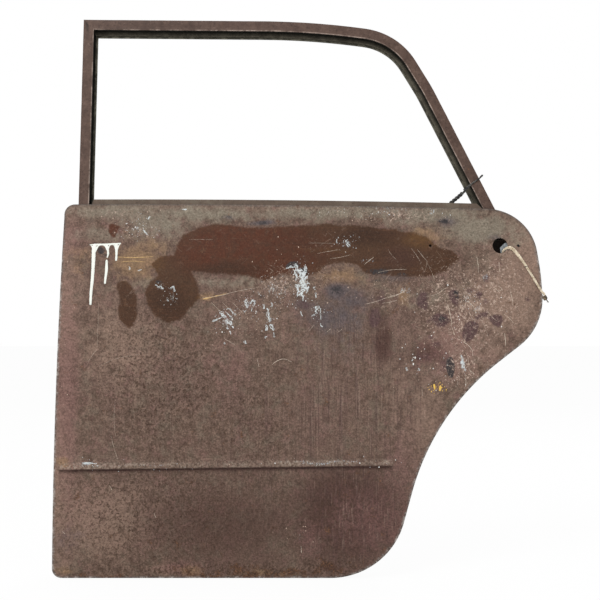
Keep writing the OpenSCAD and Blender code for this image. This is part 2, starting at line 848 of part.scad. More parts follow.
module rear_post_bracket() {
    color("#5a5048") {
        intersection() {
            on_frame() block(
                [rear_post_at(-post_tail / 2) - face_w, frame_depth + fit_gap, 2 - post_tail],
                [far, frame_depth + fit_gap + bracket_t, -30]
            );
            plate(inset(panel_pts, behind_wall), 0, inner_y);
        }
        intersection() {
            ring(panel_pts, behind_wall, behind_wall + bracket_t, 0, inner_y - 2 * rail_t);
            block([lock_split_x + 10, 0, belt_z - post_tail + 2], [far, 20, belt_z - 36]);
        }
    }
}

// A route smoothed through its points, with n steps from each to the next
function smooth(route, n) =
    let (last = len(route) - 1)
    [for (i = [0:last - 1], k = [0:n - 1])
        let (
            a = route[max(i - 1, 0)], b = route[i], c = route[i + 1], d = route[min(i + 2, last)],
            t = k / n
        )
        0.5 * (2 * b + (c - a) * t + (2 * a - 5 * b + 4 * c - d) * t * t + (3 * b - a - 3 * c + d) * t * t * t),
     route[last]];
function unit(v) = v / norm(v);
// Heading of a route at each of its points
function headings(p) =
    [for (i = [0:len(p) - 1]) unit(p[min(i + 1, len(p) - 1)] - p[max(i - 1, 0)])];
// A direction square to the route at each point, carried along from the one before
function sides_of(h, list) =
    len(list) == len(h) ? list :
    let (s = list[len(list) - 1], t = h[len(list)])
    sides_of(h, concat(list, [unit(s - (s * t) * t)]));

// A tube of diameter d along a route, times the swell at each of the route's points
module tube(route, d, swell = []) {
    n = 8;
    p = smooth(route, 3);
    f = swell == [] ? [for (q = p) 1] : [for (v = smooth([for (w = swell) [w]], 3)) v[0]];
    h = headings(p);
    s = sides_of(h, [unit(cross(h[0], [0.3, 1, 0.2]))]);
    points = [for (i = [0:len(p) - 1], k = [0:n - 1])
        p[i] + f[i] * d / 2 * (cos(360 * k / n) * s[i] + sin(360 * k / n) * cross(h[i], s[i]))];
    last = n * (len(p) - 1);
    faces = [
        [for (k = [0:n - 1]) k],
        for (i = [0:len(p) - 2], k = [0:n - 1])
            let (a = n * i + k, b = n * i + (k + 1) % n)
            [a, a + n, b + n, b],
        [for (k = [n - 1:-1:0]) last + k]
    ];
    polyhedron(points, faces, convexity = 6);
}

module twine() {
    color("#b9a27c") tube(twine_loop, twine_d);
}

module twine_knot() {
    color("#9c8a6c") tube(knot_route, twine_d, knot_swell);
}

module tie_wire() {
    color("#4a4745") on_frame() translate([rear_post_at(0), 0, 0]) {
        tube(wire_loop, wire_d);
        tube(wire_twist, 2.2 * wire_d);
    }
}

outer_skin();
hinge_rail();
bottom_rail();
wheel_arch_rail();
lock_rail();
inner_panel();
outer_belt_rail();
inner_belt_rail();
front_post();
header_rail();
front_glass_run();
header_glass_run();
front_glass_guide();
guide_bracket();
upper_hinge_plate();
lower_hinge_plate();
check_plate();
lock_reinforcement();
front_post_bracket();
rear_post_bracket();
twine();
twine_knot();
tie_wire();
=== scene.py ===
"""Looks of a stripped left rear car door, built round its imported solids.

Lengths are in millimetres, as in the part's source, and turn to metres where a mesh is made.
A mark on the skin is placed by the pixel of the 600 x 600 picture where the camera sees it.
"""

import logging
import math
import random
from dataclasses import dataclass, field
from enum import Enum
from typing import Callable, Sequence

import bmesh
import bpy
import numpy as np
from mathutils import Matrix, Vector, noise
from mathutils.geometry import delaunay_2d_cdt
from mathutils.kdtree import KDTree


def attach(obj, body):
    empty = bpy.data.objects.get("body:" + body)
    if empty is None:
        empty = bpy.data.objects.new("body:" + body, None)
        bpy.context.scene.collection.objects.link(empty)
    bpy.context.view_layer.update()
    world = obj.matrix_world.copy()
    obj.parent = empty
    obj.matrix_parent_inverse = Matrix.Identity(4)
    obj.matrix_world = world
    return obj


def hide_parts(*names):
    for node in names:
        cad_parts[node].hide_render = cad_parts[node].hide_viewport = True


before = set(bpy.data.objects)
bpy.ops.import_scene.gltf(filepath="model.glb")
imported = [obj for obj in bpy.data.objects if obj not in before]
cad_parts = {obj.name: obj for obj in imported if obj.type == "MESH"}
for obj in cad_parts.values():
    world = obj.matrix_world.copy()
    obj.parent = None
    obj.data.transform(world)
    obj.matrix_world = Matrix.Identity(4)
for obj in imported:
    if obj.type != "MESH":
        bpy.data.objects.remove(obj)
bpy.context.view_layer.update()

log = logging.getLogger("rear_door")

MM = 0.001
BODY = "root"
PICTURE = 600

Colour = tuple[float, float, float]
Spot = tuple[float, float]
Socket = bpy.types.NodeSocket
Marks = dict[Enum, Socket]
Depth = Callable[[float, float], float]
Array = np.ndarray
Thing = bpy.types.Object
Material = bpy.types.Material
Tree = bpy.types.NodeTree


@dataclass(frozen=True)
class Sight:
    """Where the camera stands, and what one pixel of its picture spans in the plane y = 0."""

    x: float = 467.2
    y: float = -2800.0
    z: float = 182.0
    pixel: float = 2.0
    tries: int = 4

    def at_depth(self, spot: Spot, y: float) -> Spot:
        """Finds where the camera sees a pixel in the plane at a depth.

        Args:
            spot: Pixel, counted from the picture's top left corner.
            y: Depth of the plane.

        Returns:
            The place's x and z.
        """
        reach = self.pixel * (y - self.y) / -self.y
        return self.x + (spot[0] - PICTURE / 2) * reach, self.z - (spot[1] - PICTURE / 2) * reach

    def on_surface(self, spot: Spot, depth: Depth) -> Spot:
        """Finds where the camera sees a pixel on a surface.

        Args:
            spot: Pixel, counted from the picture's top left corner.
            depth: Depth of the surface at an x and z.

        Returns:
            The place's x and z.
        """
        x, z = self.at_depth(spot, 0.0)
        for _ in range(self.tries):
            x, z = self.at_depth(spot, float(depth(x, z)))
        return x, z


SIGHT = Sight()


@dataclass(frozen=True)
class Corner:
    """A corner of an outline, and the radius that it is rounded to."""

    x: float
    z: float
    r: float


def rounded(corners: Sequence[Corner], closed: bool, chord: float = 1.0) -> Array:
    """Traces an outline with its corners rounded.

    Args:
        corners: The sharp corners, in order.
        closed: Whether the last corner leads back to the first.
        chord: Longest step round an arc.

    Returns:
        Points along the outline, one row each.
    """
    line = []
    last = len(corners) - 1
    for i, corner in enumerate(corners):
        here = np.array([corner.x, corner.z])
        if corner.r == 0 or (not closed and i in (0, last)):
            line.append(here)
            continue
        before, after = corners[i - 1], corners[(i + 1) % len(corners)]
        u = np.array([before.x, before.z]) - here
        v = np.array([after.x, after.z]) - here
        u, v = u / np.linalg.norm(u), v / np.linalg.norm(v)
        half = math.acos(float(u @ v)) / 2
        centre = here + (u + v) / np.linalg.norm(u + v) * corner.r / math.sin(half)
        first = here + u * corner.r / math.tan(half) - centre
        end = here + v * corner.r / math.tan(half) - centre
        angle = math.atan2(first[1], first[0])
        turn = (math.atan2(end[1], end[0]) - angle + math.pi) % (2 * math.pi) - math.pi
        steps = max(2, math.ceil(abs(turn) * corner.r / chord))
        for k in range(steps + 1):
            a = angle + turn * k / steps
            line.append(centre + corner.r * np.array([math.cos(a), math.sin(a)]))
    return np.array(line)


class Path:
    """Evenly spaced points along a clockwise outline, each with its direction outwards."""

    aside = 0.5

    def __init__(self, corners: Sequence[Corner], spacing: float, closed: bool = True) -> None:
        """Traces the outline.

        Args:
            corners: The sharp corners, in order.
            spacing: Distance from point to point.
            closed: Whether the outline is a loop.
        """
        line = rounded(corners, closed)
        if closed:
            line = np.vstack([line, line[:1]])
        run = np.concatenate([[0], np.cumsum(np.linalg.norm(np.diff(line, axis=0), axis=1))])
        whole = run[-1]
        at = np.linspace(0, whole, max(3, round(whole / spacing)) + 1)
        at = at[:-1] if closed else at

        def place(s: Array) -> Array:
            """Gives the points at distances along the line."""
            s = s % whole if closed else np.clip(s, 0, whole)
            return np.column_stack([np.interp(s, run, line[:, k]) for k in (0, 1)])

        self.points = place(at)
        ahead = place(at + self.aside) - place(at - self.aside)
        ahead /= np.linalg.norm(ahead, axis=1)[:, None]
        self.outward = np.column_stack([-ahead[:, 1], ahead[:, 0]])

    def inset(self, distance: float | Array) -> Array:
        """Gives the points moved in by a distance, which may differ from point to point."""
        return self.points - self.outward * np.reshape(distance, (-1, 1))


def smooth_step(t: Array | float) -> Array:
    """Rises smoothly from 0 to 1 as t does."""
    t = np.clip(t, 0, 1)
    return t * t * (3 - 2 * t)


def arc(centre: Spot, r: float, start: float, end: float, steps: int) -> list[Spot]:
    """Gives points along an arc, from one angle to another in degrees."""
    angles = [math.radians(start + (end - start) * k / steps) for k in range(steps + 1)]
    return [(centre[0] + r * math.cos(a), centre[1] + r * math.sin(a)) for a in angles]


def wobble(points: Array, size: float, seed: float = 0.0) -> Array:
    """Gives smooth noise from about -1 to 1 at each point, for lumps of the given size."""
    step = Vector((seed, 2.7 * seed, 5.1 * seed))
    return np.array([noise.noise(Vector(p) / size + step) for p in points.tolist()])


def smoothed(route: Sequence[Sequence[float]], steps: int) -> Array:
    """Rounds a route through its points.

    Args:
        route: The points.
        steps: Number of steps from each point to the next.

    Returns:
        Points along the route, one row each.
    """
    p = np.array(route, float)
    p = np.vstack([p[:1], p, p[-1:]])
    t = (np.arange(steps) / steps)[:, None]
    spans = []
    for a, b, c, d in zip(p, p[1:], p[2:], p[3:]):
        spans.append(0.5 * (2 * b + (c - a) * t + (2 * a - 5 * b + 4 * c - d) * t**2
                            + (3 * b - a - 3 * c + d) * t**3))
    return np.vstack([*spans, p[-1:]])


class MeshMaker:
    """Gathers points and faces in millimetres, and turns them into an object."""

    merge = 1e-6

    def __init__(self) -> None:
        """Starts with nothing."""
        self.points: list[Sequence[float]] = []
        self.faces: list[tuple[int, ...]] = []

    def add(self, points: Sequence[Sequence[float]]) -> list[int]:
        """Adds points to the mesh.

        Args:
            points: The points.

        Returns:
            The number that each has in the mesh.
        """
        first = len(self.points)
        self.points.extend(tuple(map(float, p)) for p in points)
        return list(range(first, len(self.points)))

    def bridge(self, a: Sequence[int], b: Sequence[int]) -> None:
        """Joins two closed rows of points with faces.

        Args:
            a: Numbers of the first row's points.
            b: Numbers of the second row's points, as many.
        """
        for k in range(len(a)):
            j = (k + 1) % len(a)
            self.faces.append((a[k], a[j], b[j], b[k]))

    def sweep(self, rings: Sequence[Sequence[Sequence[float]]]) -> None:
        """Joins rings into a tube with flat ends.

        Args:
            rings: The points of each ring, equally many.
        """
        rows = [self.add(ring) for ring in rings]
        for a, b in zip(rows, rows[1:]):
            self.bridge(a, b)
        self.faces += [tuple(rows[0]), tuple(reversed(rows[-1]))]

    def build(self, name: str, sharp: float | None = None) -> Thing:
        """Makes the object, with its faces outwards.

        Args:
            name: Name of the piece.
            sharp: Angle in degrees past which an edge stays sharp, or None for none.

        Returns:
            The object, at the origin.
        """
        mesh = bpy.data.meshes.new(name)
        mesh.from_pydata((np.array(self.points) * MM).tolist(), [], self.faces)
        shape = bmesh.new()
        shape.from_mesh(mesh)
        bmesh.ops.remove_doubles(shape, verts=shape.verts, dist=self.merge)
        bmesh.ops.recalc_face_normals(shape, faces=shape.faces)
        for face in shape.faces:
            face.smooth = True
        for edge in shape.edges:
            if sharp is not None and edge.calc_face_angle(0.0) > math.radians(sharp):
                edge.smooth = False
        shape.to_mesh(mesh)
        shape.free()
        return linked(bpy.data.objects.new(name, mesh))


def linked(thing: Thing) -> Thing:
    """Puts an object into the scene and gives it back."""
    bpy.context.scene.collection.objects.link(thing)
    return thing


def upright(plan: Array, depth: Array) -> Array:
    """Stands the points of a plan up at their depths."""
    return np.column_stack([plan[:, 0], depth, plan[:, 1]])


def places(piece: Thing) -> Array:
    """Reads the points of a piece.

    Args:
        piece: The object.

    Returns:
        Its points in millimetres, one row each.
    """
    co = np.empty(len(piece.data.vertices) * 3, np.float32)
    piece.data.vertices.foreach_get("co", co)
    return co.reshape(-1, 3).astype(float) / MM


def store(piece: Thing, name: str, red: Array, green: Array, blue: Array) -> None:
    """Keeps three values for each point of a piece, for its material to read.

    Args:
        piece: The object.
        name: Name that the material reads them by.
        red: The first values.
        green: The second values.
        blue: The third values.
    """
    layer = piece.data.attributes.new(name, "FLOAT_COLOR", "POINT")
    rows = np.column_stack([red, green, blue, np.ones(len(red))]).astype(np.float32)
    layer.data.foreach_set("color", rows.ravel())


def settle(piece: Thing, material: Material, slot: str, *nodes: str) -> None:
    """Dresses a finished piece and hangs it on the door.

    Args:
        piece: The object, with its place in its mesh.
        material: Its material, unless it has one.
        slot: The record's slot that the finish belongs to.
        nodes: Solids that the piece stands for.
    """
    if not piece.data.materials:
        piece.data.materials.append(material)
    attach(piece, BODY)
    if nodes:
        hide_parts(*nodes)
    log.info("%s: %d faces, %s", piece.name, len(piece.data.polygons), slot)


class Wiring:
    """Short calls that add nodes to one tree."""

    def __init__(self, tree: Tree) -> None:
        """Works on a tree."""
        self.tree = tree

    def add(self, kind: str, sockets: dict | None = None, **settings: object) -> bpy.types.Node:
        """Adds a node.

        Args:
            kind: Blender's name for the node.
            sockets: A value, or a socket to link from, for each input by name or number.
            settings: The node's own settings.

        Returns:
            The node.
        """
        node = self.tree.nodes.new(kind)
        for name, value in settings.items():
            setattr(node, name, value)
        for key, value in (sockets or {}).items():
            self.put(node.inputs[key], value)
        return node

    def put(self, socket: Socket, value: object) -> None:
        """Sets an input, or links it if the value is a socket.

        Args:
            socket: The input.
            value: A number, a colour, an object or a socket.
        """
        if isinstance(value, bpy.types.NodeSocket):
            self.tree.links.new(value, socket)
        elif socket.type == "RGBA":
            socket.default_value = (*value, 1.0)
        else:
            socket.default_value = value

    def math(self, how: str, a: object, b: object = 0.0) -> Socket:
        """Adds a sum of two values."""
        return self.add("ShaderNodeMath", {0: a, 1: b}, operation=how).outputs[0]

    def times(self, a: object, b: object) -> Socket:
        """Multiplies two values."""
        return self.math("MULTIPLY", a, b)

    def plus(self, a: object, b: object) -> Socket:
        """Adds two values."""
        return self.math("ADD", a, b)

    def less(self, a: object, b: object) -> Socket:
        """Takes the second value from the first."""
        return self.math("SUBTRACT", a, b)

    def larger(self, a: object, b: object) -> Socket:
        """Gives the larger of two values."""
        return self.math("MAXIMUM", a, b)

    def swing(self, noise: Socket, reach: float) -> Socket:
        """Centres noise on 0 and scales it."""
        return self.times(self.less(noise, 0.5), reach)

    def mix(self, share: object, a: object, b: object, how: str = "MIX") -> Socket:
        """Mixes two colours by a share."""
        return self.add("ShaderNodeMix", {0: share, 6: a, 7: b}, data_type="RGBA", blend_type=how).outputs[2]

    def span(self, value: object, low: object, high: object, to: Spot = (0.0, 1.0)) -> Socket:
        """Maps a value from one range to another, smoothly and no further."""
        sockets = {0: value, 1: low, 2: high, 3: to[0], 4: to[1]}
        return self.add("ShaderNodeMapRange", sockets, interpolation_type="SMOOTHSTEP").outputs[0]

    def noise(self, at: object, size: float, detail: float = 3.0, rough: float = 0.55) -> Socket:
        """Adds noise whose lumps have a size in millimetres."""
        sockets = {"Vector": at, "Scale": 1 / (size * MM), "Detail": detail, "Roughness": rough}
        return self.add("ShaderNodeTexNoise", sockets).outputs[0]

    def stretched(self, at: object, scale: tuple[float, float, float]) -> Socket:
        """Scales the coordinates of a pattern."""
        return self.add("ShaderNodeMapping", {"Vector": at, "Scale": scale}).outputs[0]

    def moved(self, at: object, by: float) -> Socket:
        """Shifts the coordinates of a pattern, so that it differs from one of the same size."""
        return self.add("ShaderNodeVectorMath", {0: at, 1: (by, by, by)}, operation="ADD").outputs[0]

    def height(self, at: object) -> Socket:
        """Gives the height of each point."""
        return self.add("ShaderNodeSeparateXYZ", {0: at}).outputs[2]


class Group(Wiring):
    """A shared node group in the making."""

    def __init__(self, name: str, inputs: dict[str, object], outputs: dict[str, str]) -> None:
        """Starts a group.

        Args:
            name: Name of the group.
            inputs: Each input's name and first value, besides the coordinates; the first is a size.
            outputs: Each output's name and kind.
        """
        super().__init__(bpy.data.node_groups.new(name, "ShaderNodeTree"))
        face = self.tree.interface
        face.new_socket("Vector", in_out="INPUT", socket_type="NodeSocketVector")
        for key, value in inputs.items():
            kind = "NodeSocketColor" if isinstance(value, tuple) else "NodeSocketFloat"
            socket = face.new_socket(key, in_out="INPUT", socket_type=kind)
            socket.default_value = (*value, 1.0) if isinstance(value, tuple) else value
        for key, kind in outputs.items():
            face.new_socket(key, in_out="OUTPUT", socket_type=f"NodeSocket{kind}")
        self.size = next(iter(inputs))
        self.start = self.add("NodeGroupInput").outputs

    def scaled(self, factor: float = 1.0) -> Socket:
        """Divides the coordinates by the size, so that noise of scale 1 has that size."""
        scale = self.math("DIVIDE", 1 / (MM * factor), self.start[self.size])
        return self.add("ShaderNodeVectorMath", {0: self.start["Vector"], "Scale": scale}, operation="SCALE").outputs[0]

    def lumps(self, factor: float, detail: float, rough: float = 0.55, at: Socket | None = None) -> Socket:
        """Adds noise whose lumps have the size, or a part of it."""
        return self.noise(self.scaled(factor) if at is None else at, 1 / MM, detail, rough)

    def edge(self, most: float, slope: float) -> Socket:
        """Gives the level past which noise counts, lower for more cover."""
        return self.less(most, self.times(self.start["Cover"], slope))

    def close(self, made: dict[str, Socket]) -> Tree:
        """Links the outputs and gives the finished group."""
        self.add("NodeGroupOutput", made)
        return self.tree


class Effects:
    """The effects that several materials share, each a node group that is built once."""

    def __init__(self) -> None:
        """Builds every group."""
        self.mottle = self.make_mottle()
        self.rust = self.make_rust()
        self.speckle = self.make_speckle()
        self.streak = self.make_streak()
        self.grain = self.make_grain()
        self.hairs = self.make_hairs()

    @staticmethod
    def make_mottle() -> Tree:
        """Makes the group for paint of uneven colour.

        Returns:
            The group.
        """
        g = Group("mottle", {"Size": 20.0, "Contrast": 1.0, "Dark": (0.1,) * 3, "Light": (0.2,) * 3},
                  {"Colour": "Color"})
        big, small = g.lumps(1.0, 4.0), g.lumps(0.23, 2.0)
        both = g.math("MULTIPLY_ADD", g.less(small, 0.5), 0.6)
        g.put(both.node.inputs[2], g.less(big, 0.5))
        share = g.math("MULTIPLY_ADD", both, g.start["Contrast"])
        g.put(share.node.inputs[2], 0.5)
        share.node.use_clamp = True
        return g.close({"Colour": g.mix(share, g.start["Dark"], g.start["Light"])})

    @staticmethod
    def make_rust() -> Tree:
        """Makes the group for patches of rust with crumbly edges.

        Returns:
            The group.
        """
        g = Group("rust_bloom", {"Size": 20.0, "Cover": 0.3, "Soft": 0.06, "Push": 0.0},
                  {"Mask": "Float", "Colour": "Color", "Height": "Float"})
        patch, crumb = g.lumps(1.0, 6.0, 0.62), g.lumps(0.12, 3.0, 0.6)
        soft = g.start["Soft"]
        edge = g.plus(g.edge(0.72, 0.5), soft)
        level = g.plus(g.plus(patch, g.swing(crumb, 0.22)), g.start["Push"])
        mask = g.span(level, g.less(edge, soft), g.plus(edge, soft))
        colour = g.mix(g.span(crumb, 0.38, 0.68), (0.045, 0.025, 0.018), (0.155, 0.076, 0.040))
        return g.close({"Mask": mask, "Colour": colour, "Height": g.times(mask, crumb)})

    @staticmethod
    def make_speckle() -> Tree:
        """Makes the group for small dark dots and short worms.

        Returns:
            The group.
        """
        g = Group("speckle", {"Size": 6.0, "Cover": 0.3}, {"Mask": "Float"})
        edge = g.edge(0.76, 0.4)
        return g.close({"Mask": g.span(g.lumps(1.0, 2.0, 0.65), edge, g.plus(edge, 0.07))})

    @staticmethod
    def make_streak() -> Tree:
        """Makes the group for streaks that run down the door.

        Returns:
            The group.
        """
        g = Group("run_streak", {"Width": 5.0, "Cover": 0.4}, {"Mask": "Float"})
        flow = g.lumps(1.0, 3.0, 0.7, g.stretched(g.scaled(), (1.0, 1.0, 0.018)))
        edge = g.edge(0.75, 0.45)
        return g.close({"Mask": g.span(flow, edge, g.plus(edge, 0.16))})

    @staticmethod
    def make_hairs() -> Tree:
        """Makes the group for hair-thin scratches at an angle.

        Returns:
            The group.
        """
        g = Group("hair_scratches", {"Size": 4.0, "Angle": 0.4, "Cover": 0.5}, {"Mask": "Float"})
        turned = g.add("ShaderNodeVectorRotate", {"Vector": g.scaled(), "Angle": g.start["Angle"]},
                       rotation_type="Y_AXIS").outputs[0]
        flow = g.lumps(1.0, 1.0, 0.5, g.stretched(turned, (1.0, 1.0, 0.07)))
        ridge = g.span(g.math("ABSOLUTE", g.less(flow, 0.5)), 0.0, 0.022, (1.0, 0.0))
        edge = g.edge(0.74, 0.4)
        gaps = g.span(g.lumps(2.2, 3.0, 0.7), edge, g.plus(edge, 0.08))
        return g.close({"Mask": g.times(ridge, gaps)})

    @staticmethod
    def make_grain() -> Tree:
        """Makes the group for the fine relief of old paint."""
        g = Group("grain", {"Size": 1.5}, {"Height": "Float"})
        return g.close({"Height": g.plus(g.lumps(1.0, 3.0, 0.6), g.lumps(7.0, 2.0, 0.5))})


class Surface(Wiring):
    """A material in the making: its shader, its colour so far and the coordinates of the piece."""

    def __init__(self, name: str, effects: Effects, sheen: float = 0.12) -> None:
        """Starts a material.

        Args:
            name: Name of the material.
            effects: The shared node groups.
            sheen: Level of the mirror-like share, low for chalky paint.
        """
        self.material = bpy.data.materials.new(name)
        self.material.use_nodes = True
        super().__init__(self.material.node_tree)
        self.effects = effects
        self.shader = self.tree.nodes["Principled BSDF"]
        self.shader.inputs["Specular IOR Level"].default_value = sheen
        self.at = self.add("ShaderNodeTexCoord").outputs["Object"]
        self.colour: object = None

    def use(self, group: Tree, **values: object) -> bpy.types.NodeOutputs:
        """Places a shared group on the piece's coordinates.

        Args:
            group: The group.
            values: Its inputs that differ from their first values.

        Returns:
            Its outputs.
        """
        return self.add("ShaderNodeGroup", {"Vector": self.at, **values}, node_tree=group).outputs

    def mottled(self, size: float, contrast: float, dark: Colour, light: Colour) -> Socket:
        """Gives paint of uneven colour."""
        return self.use(self.effects.mottle, Size=size, Contrast=contrast, Dark=dark, Light=light)[0]

    def cover(self, share: object, tint: object, most: object = None) -> None:
        """Lays a tint over the colour.

        Args:
            share: How much of the tint shows at each point.
            tint: The tint.
            most: Factor on the share, or None for none.
        """
        self.colour = self.mix(share if most is None else self.times(share, most), self.colour, tint)

    def corrode(self, size: float, cover: float, soft: float, most: float, push: object = 0.0
                ) -> bpy.types.NodeOutputs:
        """Lays patches of rust over the colour.

        Args:
            size: Size of the patches.
            cover: How much they cover.
            soft: Softness of their edges.
            most: How strongly they show.
            push: What is added to the cover at each point.

        Returns:
            The outputs of the rust group.
        """
        rust = self.use(self.effects.rust, Size=size, Cover=cover, Soft=soft, Push=push)
        self.cover(rust["Mask"], rust["Colour"], most)
        return rust

    def read(self, name: str) -> tuple[Socket, Socket, Socket]:
        """Reads the three values that the piece keeps under a name."""
        attribute = self.add("ShaderNodeAttribute", attribute_name=name)
        return tuple(self.add("ShaderNodeSeparateColor", {0: attribute.outputs["Color"]}).outputs)

    def grain(self, size: float) -> Socket:
        """Gives the fine relief of old paint."""
        return self.use(self.effects.grain, Size=size)[0]

    def finish(self, rough: object, height: Socket, relief: float = 0.25, strength: float = 0.5) -> None:
        """Feeds the shader with the colour and the relief.

        Args:
            rough: Roughness, a value or a socket.
            height: Height of the relief.
            relief: Depth of the relief in millimetres.
            strength: How strongly the relief shows.
        """
        bump = self.add("ShaderNodeBump", {"Strength": strength, "Distance": relief * MM, "Height": height})
        for key, value in (("Base Color", self.colour), ("Roughness", rough), ("Normal", bump.outputs[0])):
            self.put(self.shader.inputs[key], value)


@dataclass(frozen=True)
class Finish:
    """A finish that a material is made of."""

    name: str

    def coat(self, s: Surface) -> None:
        """Lays the finish on a material in the making."""
        raise NotImplementedError

    def make(self, effects: Effects) -> Material:
        """Builds the material.

        Args:
            effects: The shared node groups.

        Returns:
            The material.
        """
        s = Surface(self.name, effects)
        self.coat(s)
        return s.material


@dataclass(frozen=True)
class OldPaint(Finish):
    """Matt paint that has worn and rusted, for the rails, the panel and the small plates."""

    dark: Colour
    light: Colour
    rust: float
    dust: float
    dust_colour: Colour = (0.22, 0.19, 0.15)
    size: float = 26.0
    contrast: float = 2.6
    rough: float = 0.62
    low: float = 0.0
    foot: Spot = (-0.37, -0.16)

    def coat(self, s: Surface) -> None:
        """Lays the finish.

        Args:
            s: The material in the making.
        """
        s.colour = s.mottled(self.size, self.contrast, self.dark, self.light)
        s.cover(s.use(s.effects.speckle, Size=5.0, Cover=0.35)[0], tuple(0.45 * c for c in self.dark), 0.55)
        film = s.span(s.noise(s.at, 45.0, 5.0, 0.65), 0.62 - 0.3 * self.dust, 0.78 - 0.2 * self.dust)
        s.cover(film, self.dust_colour, 0.75 * min(1.0, 2 * self.dust))
        foot = s.span(s.height(s.at), *self.foot, (1.0, 0.0))
        runs = s.use(s.effects.streak, Width=16.0, Cover=0.42)[0]
        s.cover(s.times(runs, s.plus(0.25, foot)), (0.060, 0.032, 0.022), 2 * self.low)
        rust = s.corrode(30.0, self.rust, 0.05, 0.85, s.times(foot, self.low))
        height = s.plus(s.grain(1.6), rust["Height"])
        s.finish(s.span(rust["Mask"], 0.0, 1.0, (self.rough, 0.85)), height)


@dataclass(frozen=True)
class FramePaint(Finish):
    """Red-brown paint of the window frame: chalky patches outside, grey-green on the inner lip."""

    name: str = "frame_paint"

    def coat(self, s: Surface) -> None:
        """Lays the finish, which reads how deep a point lies, how near it is to the weld and where the bead's painted
        highlight lies.

        Args:
            s: The material in the making.
        """
        inner, seam, edge = s.read("frame_marks_and_light")
        s.colour = s.mottled(30.0, 1.8, (0.058, 0.035, 0.027), (0.112, 0.071, 0.055))
        s.cover(s.span(s.noise(s.at, 9.0, 4.0, 0.7), 0.54, 0.72), (0.19, 0.128, 0.104), 0.4)
        # painted highlight along the bead of the face, partly pale worn paint
        s.cover(edge, (0.42, 0.33, 0.28), s.span(s.noise(s.at, 30.0, 5.0, 0.75), 0.40, 0.62, (0.12, 0.95)))
        s.cover(s.use(s.effects.speckle, Size=3.6, Cover=0.5)[0], (0.032, 0.02, 0.017), 0.45)
        rust = s.corrode(36.0, 0.16, 0.07, 0.8)
        lichen = s.mix(s.span(s.noise(s.at, 12.0, 4.0), 0.42, 0.62), (0.048, 0.047, 0.035), (0.125, 0.119, 0.090))
        s.cover(inner, lichen, 0.9)
        s.cover(seam, (0.02, 0.014, 0.011), 0.9)
        height = s.plus(s.grain(1.4), s.times(rust["Height"], 1.4))
        s.finish(s.span(rust["Mask"], 0.0, 1.0, (0.5, 0.85)), height, 0.3)


